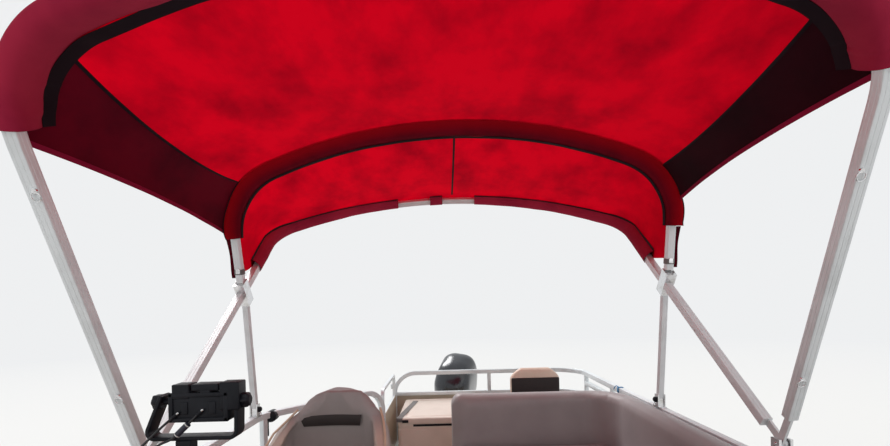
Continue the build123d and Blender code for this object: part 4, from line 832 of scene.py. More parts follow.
# corners of the rail, corner radii, radii of the two end arches, posts by part of length
fences = {
    "fence_bow_port": ([(3.050, 0.392), (3.050, 1.175), (2.150, 1.175)], [0.28], (0.09, 0.09),
                       (0.33, 0.66)),
    "fence_bow_starboard": ([(3.050, -0.392), (3.050, -1.175), (2.150, -1.175)], [0.28], (0.09, 0.09),
                            (0.33, 0.66)),
    "fence_port": ([(1.420, 1.175), (-2.170, 1.175), (-2.170, -0.557)], [0.28], (0.09, 0.20),
                   (0.127, 0.255, 0.382, 0.509, 0.636, 0.828)),
    "fence_starboard": ([(2.112, -1.175), (-0.520, -1.175), (-1.290, -0.557)], [0.25], (0.09, 0.15),
                        (0.145, 0.29, 0.435, 0.58, 0.73, 0.865)),
}


def makeFence(node, corners, radii, arches, posts):
    big = groovedLoop(rails["size"], rails["groove"], 0.004)
    slim = roundedLoop(rails["slim"], rails["slim"], 0.003, 2)
    top = deckZ + rails["topH"] - rails["sink"]
    hoop = [(*corners[0], deckZ)] + [(x, y, top) for x, y in corners] + [(*corners[-1], deckZ)]
    path = roundedPath(hoop, [arches[0], *radii, arches[1]], 12)
    shapes = [squareTube(path, big)]
    for height in (rails["panelTop"], rails["panelFoot"]):
        level = roundedPath([(x, y, deckZ + height) for x, y in corners], radii, 12)
        shapes.append(squareTube(level, slim))
    side = planSide(level)
    for share in posts:
        foot = atRun(level, share * runAlong(level)[-1])
        near = np.linalg.norm(level - foot, axis=1).argmin()
        post = np.array([(foot[0], foot[1], deckZ), (foot[0], foot[1], top)])
        shapes.append(squareTube(post, slim, side[near]))
    if node == "fence_port":
        second = np.array([(x, corners[0][1], deckZ + rails["secondH"]) for x in rails["secondX"]])
        shapes.append(squareTube(second, slim))
    title = "".join(word.title() for word in node.split("_")[1:])
    piece("rail" + title, shapes, "rail", "root", (node + "_frame",), sharp=28)


for node, spec in fences.items():
    makeFence(node, *spec)
print("rails made")


# Padded pieces. A closed shape is made even quads, filled as cloth under pressure, and held in by its sewn
# lines: the share of the swell left there is (distance / reach) to the power seam.
padding = {"pressure": 4.0, "steps": 20, "stiffness": 12.0, "seam": 0.6}


def evaluated(thing):
    mesh = thing.evaluated_get(bpy.context.evaluated_depsgraph_get()).to_mesh()
    points = np.empty(len(mesh.vertices) * 3, dtype=np.float32)
    mesh.vertices.foreach_get("co", points)
    return points.reshape(-1, 3).astype(float), [list(face.vertices) for face in mesh.polygons]


def stuffed(shapes, voxel, swell, sewn=()):
    # sewn lines are (axis, place, reach): within reach of that plane the cloth rises less
    scene = bpy.context.scene
    points, faces, _ = joined(shapes)
    mesh = bpy.data.meshes.new("stuffing")
    mesh.from_pydata(points.tolist(), [], faces)
    thing = bpy.data.objects.new("stuffing", mesh)
    scene.collection.objects.link(thing)
    even = thing.modifiers.new("even", "REMESH")
    even.mode, even.voxel_size = "VOXEL", voxel
    rest, quads = evaluated(thing)
    result = rest
    thing.modifiers.clear()
    thing.data = bpy.data.meshes.new("stuffed")
    thing.data.from_pydata(rest.tolist(), [], quads)
    cloth = thing.modifiers.new("cloth", "CLOTH")
    cloth.settings.use_pressure = True
    cloth.settings.uniform_pressure_force = padding["pressure"]
    cloth.settings.tension_stiffness = cloth.settings.compression_stiffness = padding["stiffness"]
    cloth.settings.effector_weights.gravity = 0.0
    cloth.point_cache.frame_end = padding["steps"]
    for step in range(1, padding["steps"] + 1):
        scene.frame_set(step)
    move = evaluated(thing)[0] - rest
    far = np.linalg.norm(move, axis=1)
    cap = np.full(len(rest), swell)
    for axis, at, reach in sewn:
        cap = cap * np.clip(np.abs(rest[:, axis] - at) / reach, 0.0, 1.0) ** padding["seam"]
    result = rest + move * np.minimum(1.0, cap / np.maximum(far, 1e-6))[:, None]
    print("filled", len(rest), "points, moved", round(float(np.median(far)), 4))
    bpy.data.objects.remove(thing)
    scene.frame_set(1)
    return result, quads, np.zeros((len(result), 2))


def placed(shape, at, turn=0.0):
    # a shape drawn from a seat's swivel on the deck, facing +X
    points, faces, uv = shape
    c, s = cos(turn), sin(turn)
    spun = points @ np.array([[c, s, 0], [-s, c, 0], [0, 0, 1]])
    return spun + np.array([*at, deckZ]), faces, uv


def pad(name, shape, finish, body, node):
    thing = piece(name, [shape], finish, body, (node,) if node else (), sharp=180, levels=1)
    return thing


def pipe(path, r, steps=8):
    # a round cord along a path, its frame carried without a twist
    path = np.array(path, dtype=float)
    ahead = tangents(path)
    aside = [unit(np.cross(ahead[0], (0.21, 0.33, 0.92)))]
    for direction in ahead[1:]:
        aside.append(unit(aside[-1] - (aside[-1] @ direction) * direction))
    return squareTube(path, roundLoop(r, steps), np.array(aside))


couch = {
    "back": {"x": -0.872, "y": 1.074, "from": -0.052, "to": 1.000, "corner": 0.270, "thick": 0.136,
             "low": 0.285, "top": 0.741, "end": 0.070, "r": 0.050},
    "seats": [((-0.798, -0.045, 0.285), (-0.330, 1.003, 0.405)),
              ((-0.328, 0.520, 0.285), (0.334, 1.003, 0.405)),
              ((0.336, 0.520, 0.285), (1.000, 1.003, 0.405))],
    "inset": 0.009, "swell": 0.010, "voxel": 0.013, "seatR": 0.028, "backFill": 0.75,
}


def couchBack(inset):
    # one rounded section carried along the back and round its corner. Both ends draw in on a quarter circle:
    # end (1 - sqrt(1 - (1 - near)^2)), near going from 0 at the end to 1.
    b = couch["back"]
    path = roundedPath([(b["x"], b["from"] + inset, 0), (b["x"], b["y"], 0), (b["to"] - inset, b["y"], 0)],
                       [b["corner"]], 18)
    run = runAlong(path)
    ends = b["end"] * (1 - np.cos(np.linspace(0.02, pi / 2, 7)))
    at = np.unique(np.concatenate([ends, np.linspace(b["end"], run[-1] - b["end"], 60), run[-1] - ends]))
    path = atRun(path, at)
    near = np.clip(np.minimum(at, run[-1] - at) / b["end"], 0, 1)
    draw = b["end"] * (1 - np.sqrt(1 - (1 - near) ** 2))
    tall, thick = b["top"] - b["low"] - 2 * inset, b["thick"] - 2 * inset
    side = planSide(path)
    rows = []
    for point, across, d in zip(path, side, draw):
        wide, high = thick - min(d, thick / 2 - 0.004) * 1.2, tall - d
        loop = roundedLoop(wide, high, min(b["r"], wide * 0.49), 6)
        height = b["low"] + inset + high / 2
        rows.append(point + loop[:, :1] * across + (loop[:, 1:] + height) * np.array([0, 0, 1.0]))
    return lofted(rows, True)


def makeCouch():
    k = couch
    shape = stuffed([couchBack(k["inset"])], k["voxel"], k["swell"])
    pad("couchBack", placed(shape, (0, 0)), "vinyl", "root", "couch_backs")
    for i, (low, high) in enumerate(k["seats"]):
        shape = stuffed([longSlab(low, high, k["inset"], k["seatR"])], k["voxel"], k["swell"])
        pad("couchSeat" + str(i + 1), placed(shape, (0, 0)), "vinyl", "root", None if i else "couch_seats")


# Swivel seats, from their swivels: where each stands and how it is turned
chairs = {
    "aft_chair": ((-1.470, 0.600), pi), "bow_chair_port": ((2.540, 0.740), 0.0),
    "bow_chair_starboard": ((2.540, -0.740), 0.0),
}
chair = {"plate": 0.300, "pan": 0.312, "seat": 0.340, "cushion": 0.090, "half": 0.225, "top": 0.850,
         "deep": (-0.195, 0.235), "seams": (-0.12, 0.12), "plateHalf": 0.090, "panHalf": 0.190,
         "pivot": (-0.215, 0.475), "backDeep": (-0.247, -0.177), "panel": (0.178, 0.500, 0.762),
         "crown": ((0.50, 0.188), (0.68, 0.202), (0.758, 0.202), (0.790, 0.184), (0.820, 0.150),
                   (0.850, 0.100)),
         "voxel": 0.009, "swell": 0.012, "backSwell": 0.6}
# the arms from the pan to the back's pivot, and the straps from there up the back
chairArm = {"y": 0.205, "half": 0.005, "inner": 0.188, "foot": (0.006, 0.012, 0.020), "pin": (0.022, 0.008),
            "strapY": 0.219, "strapHalf": 0.016, "strapTop": 0.150, "disc": 0.017,
            "tab": (0.072, 0.148, 0.185)}


def crownedBack(inset):
    # a padded back whose sides draw in to a narrow crown and whose edges round off on a quarter circle
    low, high = chair["pivot"][1] + 0.030 + inset, chair["top"] - inset
    middle = (chair["backDeep"][0] + chair["backDeep"][1]) / 2
    deep = chair["backDeep"][1] - chair["backDeep"][0] - 2 * inset
    rows = []
    for z in np.linspace(low, high - 0.001, 26):
        wide = 2 * (np.interp(z, *np.array(chair["crown"]).T) - inset)
        edge = np.clip(min(z - low, high - z) / 0.03, 0.02, 1)
        thick = deep * (1 - (1 - edge) ** 2) ** 0.5
        loop = roundedLoop(thick, wide, min(thick, wide) * 0.45)
        rows.append(np.column_stack([loop[:, 0] + middle, loop[:, 1], np.full(len(loop), z)]))
    return lofted(rows)


def onSide(side, near, far, middle=0.0):
    # two places on one side of a middle, the lower first
    return sorted((middle + side * near, middle + side * far))


def chairHard():
    # swivel plate and pan, then each side's arm, foot and pin
    k, arm = chair, chairArm
    px, pz = k["pivot"]
    plate, pan = k["plateHalf"], k["panHalf"]
    low, mid, high = (k["pan"] + rise for rise in arm["foot"])
    pinOut, pinR = arm["pin"]
    hard = [slab((-plate, -plate, k["plate"]), (plate, plate, k["pan"]), 0.003),
            slab((-pan, -pan, k["pan"]), (pan, pan, k["seat"] + 0.008), 0.010)]
    for side in (-1, 1):
        y = side * arm["y"]
        hard.append(sidePlate([(px - 0.020, pz - 0.012), (px - 0.012, pz + 0.020), (px + 0.012, pz + 0.020),
                               (px + 0.022, pz), (px + 0.060, mid), (px + 0.030, low)],
                              y - arm["half"], y + arm["half"]))
        hard.append(sidePlate([(px + 0.030, low), (px + 0.120, low), (px + 0.120, high), (px + 0.050, high)],
                              *onSide(side, arm["inner"], arm["y"])))
        hard.append(roundBar((px, y - side * arm["half"], pz), (px, y + side * pinOut, pz), pinR))
    return hard


def chairStraps():
    # a strap up each side of the back, its disc on the pivot and the tab that holds the back
    arm = chairArm
    px, pz = chair["pivot"]
    half, (tabLow, tabHigh, inner) = arm["strapHalf"], arm["tab"]
    straps = []
    for side in (-1, 1):
        y = side * arm["strapY"]
        straps.append(slab((px - half, y - 0.004, pz - half),
                           (px + half, y + 0.004, pz + arm["strapTop"]), 0.003))
        straps.append(roundBar((px, y - side * 0.006, pz), (px, y + side * 0.006, pz), arm["disc"]))
        tab0, tab1 = onSide(side, inner, arm["strapY"])
        straps.append(slab((px - 0.014, tab0, pz + tabLow), (px + 0.014, tab1, pz + tabHigh), 0.003))
    return straps


def makeChairs():
    k = chair
    seatLow = (k["deep"][0], -k["half"], k["seat"])
    seatHigh = (k["deep"][1], k["half"], k["seat"] + k["cushion"])
    seat = stuffed([longSlab(seatLow, seatHigh, 0.010, 0.032)], k["voxel"], k["swell"],
                   [(1, y, 0.016) for y in k["seams"]])
    back = stuffed([crownedBack(0.009)], k["voxel"], k["swell"] * k["backSwell"])
    half, foot, top = k["panel"]
    rear = k["backDeep"][0]
    panel = slab((rear - 0.007, -half, foot), (rear + 0.012, half, top), 0.008)
    hard, straps = chairHard(), chairStraps()
    for name, (at, turn) in chairs.items():
        title, folding = "".join(word.title() for word in name.split("_")), name + "_back"
        pad(title + "Cushion", placed(seat, at, turn), "vinyl", name, name + "_seat")
        pad(title + "BackPad", placed(back, at, turn), "tan", folding, folding)
        for part, shapes, finish, body in (("BackPanel", [panel], "blackVinyl", folding),
                                           ("Pan", hard, "black", name),
                                           ("Straps", straps, "black", folding)):
            shapes = [placed(shape, at, turn) for shape in shapes]
            piece(title + part, shapes, finish, body, sharp=30)


def sidePlate(outline, y0, y1):
    # an outline of x and z, carried across from y0 to y1
    ring = np.array(outline, dtype=float)
    step = np.roll(ring, -1, axis=0) - ring
    if np.cross(step, np.roll(step, -1, axis=0)).sum() > 0:
        ring = ring[::-1]
    both = np.stack([np.column_stack([ring[:, 0], np.full(len(ring), y), ring[:, 1]]) for y in (y0, y1)])
    return lofted(both)


def longSlab(low, high, inset, r):
    return slab(np.array(low) + inset, np.array(high) - inset, r)


# Helm seat: the back wraps round in plan and its wings slope down forward
helm = {
    "at": (0.400, -0.560), "plate": (0.320, 0.345, 0.110),
    "seat": ((-0.200, -0.242, 0.345), (0.250, 0.242, 0.500)),
    "low": 0.502, "top": 0.968, "half": 0.262, "thick": 0.058, "tip": 0.030, "bend": -0.150, "rear": -0.290,
    "face": -0.165, "slope": ((-0.160, 0.885), (0.024, 0.700)),
    "voxel": 0.009, "inset": 0.006, "swell": 0.005, "seams": (-0.173, 0.126), "backFill": 0.75,
    "cushion": {"inset": 0.012, "r": 0.045, "voxel": 0.011, "swell": 0.015, "seams": (-0.13, 0.13)},
    # the band's rows: out from the back's face, from the foot or the top by how much, and how far drawn in
    "band": {"y": (-0.136, 0.132), "z": (0.806, 0.857), "draw": (0.020, 0.008), "rows": (
        (-0.02, 0, 0.0, 1.0), (0.006, 0, 0.004, 0.95), (0.009, 0, 0.012, 0.8), (0.009, 1, -0.008, 0.15),
        (0.006, 1, -0.002, 0.0), (-0.02, 1, 0.0, 0.0))},
    "piping": 0.0050, "pipingIn": 0.012,
    # share of the half width on each side, by height
    "port": ((0.70, 1.0), (0.79, 0.97), (0.845, 0.91), (0.889, 0.83), (0.932, 0.72), (0.952, 0.60),
             (0.966, 0.42)),
    "starboard": ((0.74, 1.0), (0.80, 0.90), (0.85, 0.70), (0.889, 0.55), (0.918, 0.49), (0.948, 0.32),
                  (0.966, 0.05)),
}


def bowed(x0, xm, half, count):
    # an arc in plan through (x0, -half), (xm, 0) and (x0, half)
    deep = x0 - xm
    r = (half * half + deep * deep) / (2 * deep)
    t = np.linspace(-1, 1, count) * np.arctan2(half, r - deep)
    return np.column_stack([xm + r - r * np.cos(t), r * np.sin(t)])


def helmShare(y, z):
    # how far the sides draw in at a height: less to port than to starboard
    port, starboard = (np.interp(z, *np.array(helm[side]).T) for side in ("port", "starboard"))
    return np.where(np.asarray(y) > 0, port, starboard)


def helmShell(inset):
    h = helm
    outer = bowed(h["bend"] + inset, h["rear"] + inset, h["half"] - inset, 30)
    inner = bowed(h["bend"] + 0.020 - inset, h["face"] - inset,
                  h["half"] - h["thick"] + inset - 0.010, 30)[::-1]
    tip = h["tip"] - inset
    ends = [(tip, h["half"] - inset), (tip, h["half"] - h["thick"] + inset)]
    other = [(x, -y) for x, y in ends[::-1]]
    plan = np.array([*outer, *ends, *inner, *other])
    (x0, z0), (x1, z1) = h["slope"]
    rows = []
    for z in np.linspace(h["low"] + inset, h["top"] - inset, 40):
        edge = np.where(plan[:, 0] > x0 - 0.004, np.interp(plan[:, 0], (x0, x1), (z0, z1)), h["top"]) - inset
        level = np.minimum(z, edge)
        rows.append(np.column_stack([plan[:, 0], plan[:, 1] * helmShare(plan[:, 1], level), level]))
    return lofted(rows)


def makeHelmBand():
    h, b = helm, helm["band"]
    face = bowed(h["bend"] + 0.020, h["face"], h["half"] - h["thick"] - 0.010, 60)
    rows = []
    for out, edge, rise, draw in b["rows"]:
        across = np.linspace(b["y"][0] + draw * b["draw"][0], b["y"][1] - draw * b["draw"][1], 30)
        depth = np.interp(across, face[:, 1], face[:, 0])
        rows.append(np.column_stack([depth + out, across, np.full(30, b["z"][edge] + rise)]))
    piece("helmBand", [placed(gridShape(np.array(rows), wrapRows=True), h["at"])], "blackVinyl", "helm_chair")


def makeHelmPiping():
    # a welt up the front of each wing and along its slope
    h = helm
    (x0, z0), (x1, z1) = h["slope"]
    welts = []
    for side in (-1, 1):
        y = side * (h["half"] - h["pipingIn"])
        path = [(h["tip"] - 0.004, y, z) for z in (0.520, 0.60, z1 - 0.02)]
        for t in np.linspace(0.05, 1.0, 12):
            z = z1 + (z0 - z1) * t - 0.004
            path.append((x1 + (x0 - x1) * t, y * float(helmShare(side, z)), z))
        welts.append(placed(pipe(path, h["piping"]), h["at"]))
    piece("helmPiping", welts, "cream", "helm_chair")


def makeHelmSeat():
    h, c = helm, helm["cushion"]
    low, high, half = h["plate"]
    seat = stuffed([longSlab(*h["seat"], c["inset"], c["r"])], c["voxel"], c["swell"],
                   [(1, y, 0.02) for y in c["seams"]])
    pad("helmCushion", placed(seat, h["at"]), "vinyl", "helm_chair", "helm_seat")
    piece("helmPlate", [placed(slab((-half, -half, low), (half, half, high + 0.012), 0.006), h["at"])],
          "black", "helm_chair")
    back = stuffed([helmShell(h["inset"])], h["voxel"], h["swell"], [(1, y, 0.016) for y in h["seams"]])
    pad("helmBackPad", placed(back, h["at"]), "helmVinylShadeAndSunlitEdge", "helm_chair", "helm_back")
    makeHelmBand()
    makeHelmPiping()


makeCouch()
print("couch made")
makeChairs()
makeHelmSeat()
print("seats made")


# Box on the stern deck: a moulded tub and lid. Rows are (inset, how far under the rim or the lid's top).
box = {"x": (-2.105, -1.370), "y": (-0.450, 0.150), "body": 0.408, "top": 0.450, "r": 0.035, "lip": 0.008,
       "wall": 0.030, "wellR": 0.020, "gap": 0.001, "pin": (-2.117, 0.409), "hinges": (-0.330, 0.030),
       "latches": (-0.390, 0.090), "grip": ((-0.330, 0.030), 0.382, 0.400), "strap": 0.046,
       "tubRows": ((0, 0.050), (0.002, 0.047), (0.002, 0.030), (0, 0.027), (0, 0.002), (0.002, 0)),
       "lidRows": ((0, 0.012), (0.002, 0.006), (0.008, 0.001), (0.020, 0), (0.052, 0), (0.056, 0.004),
                   (0.070, 0.004), (0.074, 0.001)),
       "lug": {"near": 0.0145, "plate": 0.014, "far": 0.023, "r": 0.008, "pinR": 0.0038, "knuckle": 0.013}}


def ringRows(x, y, rows, steps=6):
    # stacked rounded rectangles between the limits x and y: inset, height above the deck, corner radius
    loops = []
    for inset, z, r in rows:
        x0, x1, y0, y1 = x[0] + inset, x[1] - inset, y[0] + inset, y[1] - inset
        loop = roundedLoop(x1 - x0, y1 - y0, r, steps) + np.array([(x0 + x1) / 2, (y0 + y1) / 2])
        loops.append(np.column_stack([loop, np.full(len(loop), deckZ + z)]))
    return lofted(loops)


def makeBoxTub():
    b = box
    wall, rim, (x0, x1) = b["wall"], b["body"], b["x"]
    outside = [(0.010, 0.0), (0, 0.010)] + [(inset, rim - drop) for inset, drop in b["tubRows"]]
    inside = [(wall, rim), (wall, wall + 0.015), (wall + 0.012, wall)]
    rows = [(*row, b["r"]) for row in outside] + [(*row, b["wellR"]) for row in inside]
    tub = ringRows(b["x"], b["y"], rows)
    piece("boxTub", [tub], "box", "root", ("aft_box_body",), sharp=30)
    lug, lugs, knuckles = b["lug"], [], []
    far, knuckle = lug["far"], lug["knuckle"]
    px, pz = b["pin"][0], deckZ + b["pin"][1]
    for y in b["hinges"]:
        for side in (-1, 1):
            lugs.append(roundBar((px, y + side * lug["near"], pz), (px, y + side * far, pz), lug["r"]))
            y0, y1 = onSide(side, lug["plate"], far, y)
            lugs.append(slab((px, y0, pz - 0.016), (x0 + 0.003, y1, pz - 0.004), 0.001))
        lugs.append(roundBar((px, y - far, pz), (px, y + far, pz), lug["pinR"]))
        knuckles.append(roundBar((px, y - knuckle, pz), (px, y + knuckle, pz), lug["r"]))
        knuckles.append(slab((px, y - knuckle, pz + 0.002), (x0 + 0.004, y + knuckle, pz + 0.009), 0.001))
    piece("boxLugs", lugs, "bright", "root", sharp=30)
    (y0, y1), z0, z1 = b["grip"]
    grip = slab((x1 - 0.010, y0, deckZ + z0), (x1 + 0.0015, y1, deckZ + z1), 0.002)
    piece("boxGrip", [grip], "black", "root", sharp=30)
    return knuckles


def makeBoxLid(knuckles):
    b = box
    x0, front = b["x"][0], b["x"][1] + b["lip"]
    low, top = b["body"] + b["gap"], b["top"]
    rows = [(0, low)] + [(inset, top - drop) for inset, drop in b["lidRows"]]
    lid = ringRows((x0, front), b["y"], [(*row, b["r"]) for row in rows])
    piece("boxLid", [lid], "box", "box_lid", ("aft_box_lid",), sharp=24)
    piece("boxKnuckles", knuckles, "bright", "box_lid", sharp=30)
    catches = []
    for y in b["latches"]:
        for back, out, half, rise, drop in ((-0.004, 0.006, 0.024, 0.006, 0.014),
                                            (0.002, 0.009, 0.015, 0.010, 0.026)):
            catches.append(slab((front + back, y - half, deckZ + low + rise),
                                (front + out, y + half, deckZ + top - drop), 0.003))
    piece("boxLatches", catches, "black", "box_lid", sharp=30)
    # a dark grey strip lies along the lid by its starboard edge and over the front: painted shadow of the
    # rail across the lid
    line = np.array([(x0 + 0.100, -0.350, top + 0.001), (-1.90, -0.362, top + 0.001),
                     (-1.62, -0.402, top + 0.001), (b["x"][1] - 0.020, -0.432, top + 0.001),
                     (front - 0.002, -0.434, top - 0.003), (front + 0.002, -0.435, top - 0.010),
                     (front + 0.002, -0.435, low + 0.012)])
    line = line + np.array([0, 0, deckZ])
    ahead = tangents(line)
    side = unit(np.cross(ahead, np.array([[0, 0, 1.0]] * 4 + [[1, 0, 1.0]] + [[1.0, 0, 0]] * 2)))
    strap = strip(line, side, unit(np.cross(side, ahead)), b["strap"], 0.002)
    piece("boxLidShadowStrip", [strap], "webbingAndShadow", "box_lid", sharp=30)


makeBoxLid(makeBoxTub())
print("box made")


# Chart plotter's mount: a bent bail with two knobs holds the cradle; two cables end at its face
mount = {
    "bailX": (0.889, 0.939), "bail": [(-0.874, 1.080), (-0.926, 0.956), (-0.662, 0.956), (-0.658, 1.080)],
    "bailThick": 0.011, "bailR": 0.020, "knobAt": (0.915, 1.060), "knobR": 0.021,
    "knobs": [(-0.908, -0.880), (-0.626, -0.654)], "cradleX": (0.887, 0.944), "cradleY": (-0.850, -0.680),
    "cradleZ": (1.004, 1.088), "rim": 0.013, "recess": 0.004,
    "blocks": [(-0.840, -0.790, 1.070, 1.112), (-0.784, -0.706, 1.092, 1.112), (-0.704, -0.648, 1.036, 1.116),
               (-0.760, -0.730, 1.080, 1.096)],
    "screws": [(-0.6605, 1.073), (-0.6605, 1.053)], "stem": (0.965, -0.811),
}
cables = {
    "plotter_cable_outboard": [(0.992, -0.948, 1.596), (0.990, -0.946, 1.632), (0.975, -0.930, 1.672),
                               (0.955, -0.900, 1.706), (0.947, -0.868, 1.738), (0.9465, -0.836, 1.764)],
    "plotter_cable_inboard": [(1.004, -0.905, 1.596), (1.000, -0.903, 1.630), (0.984, -0.893, 1.666),
                              (0.963, -0.868, 1.694), (0.950, -0.836, 1.703), (0.947, -0.800, 1.738),
                              (0.9465, -0.765, 1.771)],
}
cable = {"d": 0.007, "length": {"plotter_cable_outboard": 0.2165, "plotter_cable_inboard": 0.2485},
         "plug": 0.017, "plugR": 0.0052, "ferrule": 0.007, "ferruleR": 0.0036, "label": (0.56, 0.86),
         "labelR": 0.0085}


def turnedRod(start, ahead, stations, steps=20):
    # a round piece along a line: stations are (distance, radius)
    ahead = unit(np.array(ahead, dtype=float))
    aside = asideOf(ahead)
    up = np.cross(ahead, aside)
    loop = roundLoop(1.0, steps)
    rows = [np.array(start) + ahead * s + r * (loop[:, :1] * aside + loop[:, 1:] * up) for s, r in stations]
    return lofted(rows)


def lobedKnob(x, z, y0, y1, r):
    # scalloped grip: r (1 + 0.09 cos 6a), with a stepped face outward
    a = np.linspace(0, 2 * pi, 48, endpoint=False)
    lobes = 1 + 0.09 * np.cos(6 * a)
    way = 1 if y1 > y0 else -1
    rows = []
    for y, part, wavy in ((y1, 0.90, 1), (y1 - way * 0.003, 0.99, 1), (y0 + way * 0.010, 1.0, 1),
                          (y0 + way * 0.005, 0.93, 1), (y0 + way * 0.002, 0.72, 0.4), (y0, 0.60, 0.0)):
        rim = r * part * (1 + (lobes - 1) * wavy)
        rows.append(np.column_stack([x + rim * np.cos(a), np.full(48, y), z + rim * np.sin(a)]))
    return lofted(rows, way > 0)


def makeMount():
    m = mount
    x0, x1 = m["bailX"]
    middle = (x0 + x1) / 2
    corners = [(middle, y, deckZ + h) for y, h in m["bail"]]
    path = roundedPath(corners, [m["bailR"]] * 2, 10)
    bail = [squareTube(path, roundedLoop(x1 - x0, m["bailThick"], 0.003), (1.0, 0, 0))]
    kx, kz = m["knobAt"][0], deckZ + m["knobAt"][1]
    for outer, inner in m["knobs"]:
        bail.append(lobedKnob(kx, kz, outer, inner, m["knobR"]))
    piece("plotterBail", bail, "black", "root", ("plotter_bail",), sharp=32)
    (cx0, cx1), (cy0, cy1), (cz0, cz1) = m["cradleX"], m["cradleY"], m["cradleZ"]
    rim, back = m["rim"], cx1 - m["recess"]
    z0, z1 = deckZ + cz0, deckZ + cz1
    cradle = [slab((cx0, cy0, z0), (back, cy1, z1), 0.006)]
    for low, high in (((cy0, z0), (cy1, z0 + rim)), ((cy0, z1 - rim), (cy1, z1)),
                      ((cy0, z0), (cy0 + rim, z1)), ((cy1 - rim, z0), (cy1, z1))):
        cradle.append(slab((back - 0.006, *low), (cx1, *high), 0.003))
    for y0, y1, h0, h1 in m["blocks"]:
        cradle.append(slab((cx0 + 0.004, y0, deckZ + h0), (cx1 - 0.001, y1, deckZ + h1), 0.004))
    cradle.append(roundBar((kx, -0.8765, kz), (kx, -0.666, kz), 0.009))
    for y in (cy0 + 0.045, cy1 - 0.045):
        cradle.append(slab((back - 0.002, y - 0.010, z0 + 0.022),
                           (cx1 - 0.001, y + 0.010, z1 - 0.026), 0.002))
    piece("plotterCradle", cradle, "black", "root", ("plotter_cradle",), sharp=32)
    head = ((0, 0.0028), (0.003, 0.0028), (0.0036, 0.002))
    dots = [turnedRod((x1 - 0.002, y, deckZ + h), (1, 0, 0), head, 12) for y, h in m["screws"]]
    piece("plotterScrews", dots, "bright", "root")
    sx, sy = m["stem"]
    top = deckZ + 0.840
    stem = [turnedRod((sx, sy, top), (0, 0, 1), ((0, 0.042), (0.004, 0.042), (0.007, 0.039), (0.009, 0.030),
                                                 (0.012, 0.018)), 32),
            roundBar((sx, sy, top + 0.006), (0.922, sy, deckZ + 0.928), 0.011),
            slab((0.901, sy - 0.022, deckZ + 0.916), (0.943, sy + 0.022, deckZ + 0.952), 0.004)]
    piece("plotterStem", stem, "black", "root", ("plotter_stem",), sharp=32)


def makePlug(title, end, ahead):
    # the knurled plug at a cable's end and the bright ferrule on it
    k = cable
    long, r, ferrule, tipR = k["plug"], k["plugR"], k["ferrule"], k["ferruleR"]
    grooved = ((0, 0.0040), (0.001, r), (0.007, r), (0.0075, 0.0046), (0.009, 0.0046), (0.0095, r),
               (long - 0.001, r), (long, 0.0044))
    plug = turnedRod(end - ahead * 0.001, ahead, grooved)
    plug = piece("plug" + title, [plug], "black", "root",
                 ("plotter_plugs",) if title == "Inboard" else (), sharp=30)
    tip = turnedRod(end + ahead * (long - 0.002), ahead,
                    ((0, tipR), (ferrule, tipR), (ferrule + 0.001, tipR - 0.0008)))
    return [plug, piece("ferrule" + title, [tip], "bright", "root", sharp=30)]


def makeLabel(points):
    # a dark sleeve over the cable's last bend, with a pale line near each end
    r = cable["labelR"]
    a, b, end = (np.array(point) for point in points[-3:])
    low, high = a + (b - a) * 0.30, b + (end - b) * 0.25
    sleeve = pipe([low, (low + high) / 2 + np.array([0.001, 0, 0]), high], r, 20)
    way = unit(high - low)
    lines = [turnedRod(at, way, ((0, r + 0.0003), (0.003, r + 0.0003)))
             for at in (low + way * 0.002, high - way * 0.005)]
    return [piece("cableLabel", [sleeve], "label", "root", sharp=40),
            piece("cableLabelLines", lines, "white", "root", sharp=40)]


def makeCable(name, points):
    k = cable
    title = name.split("_")[-1].title()
    curve = bpy.data.curves.new("cable" + title, "CURVE")
    curve.dimensions = "3D"
    curve.bevel_depth = k["d"] / 2
    curve.bevel_resolution = 4
    curve.resolution_u = 16
    line = curve.splines.new("NURBS")
    line.points.add(len(points) - 1)
    for point, at in zip(line.points, points):
        point.co = (*at, 1.0)
    line.order_u = 3
    line.use_endpoint_u = True
    thing = bpy.data.objects.new("cable" + title, curve)
    bpy.context.scene.collection.objects.link(thing)
    curve.materials.append(finishes["cable"])
    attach(thing, "root")
    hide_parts(name)
    end = np.array(points[-1])
    extras = makePlug(title, end, unit(end - np.array(points[-2])))
    if title == "Inboard":
        extras += makeLabel(points)


makeMount()
for name, points in cables.items():
    makeCable(name, points)
print("mount made")


# Outboard motor, drawn upright from the middle of its tilt tube and parked tilted and turned
motor = {"at": (-3.056, 0.0, 0.760), "tilt": 27.0, "steer": -18.0, "axisX": -0.075}
# columns: height, middle x, length, width, corner radius
cowlRows = [(0.129, -0.192, 0.500, 0.336, 0.110), (0.136, -0.192, 0.512, 0.348, 0.112),
            (0.160, -0.189, 0.548, 0.380, 0.125), (0.186, -0.187, 0.566, 0.396, 0.130),
            (0.190, -0.187, 0.556, 0.386, 0.128), (0.197, -0.187, 0.556, 0.386, 0.128),
            (0.202, -0.187, 0.572, 0.402, 0.132), (0.260, -0.186, 0.586, 0.414, 0.138),
            (0.330, -0.187, 0.592, 0.419, 0.142), (0.400, -0.188, 0.590, 0.417, 0.144),
            (0.456, -0.188, 0.580, 0.414, 0.144), (0.504, -0.199, 0.548, 0.408, 0.142),
            (0.544, -0.212, 0.504, 0.392, 0.138), (0.580, -0.227, 0.450, 0.368, 0.130),
            (0.608, -0.240, 0.396, 0.334, 0.120), (0.630, -0.250, 0.334, 0.286, 0.102),
            (0.645, -0.255, 0.260, 0.220, 0.080), (0.654, -0.256, 0.176, 0.142, 0.054),
            (0.658, -0.254, 0.085, 0.066, 0.028)]


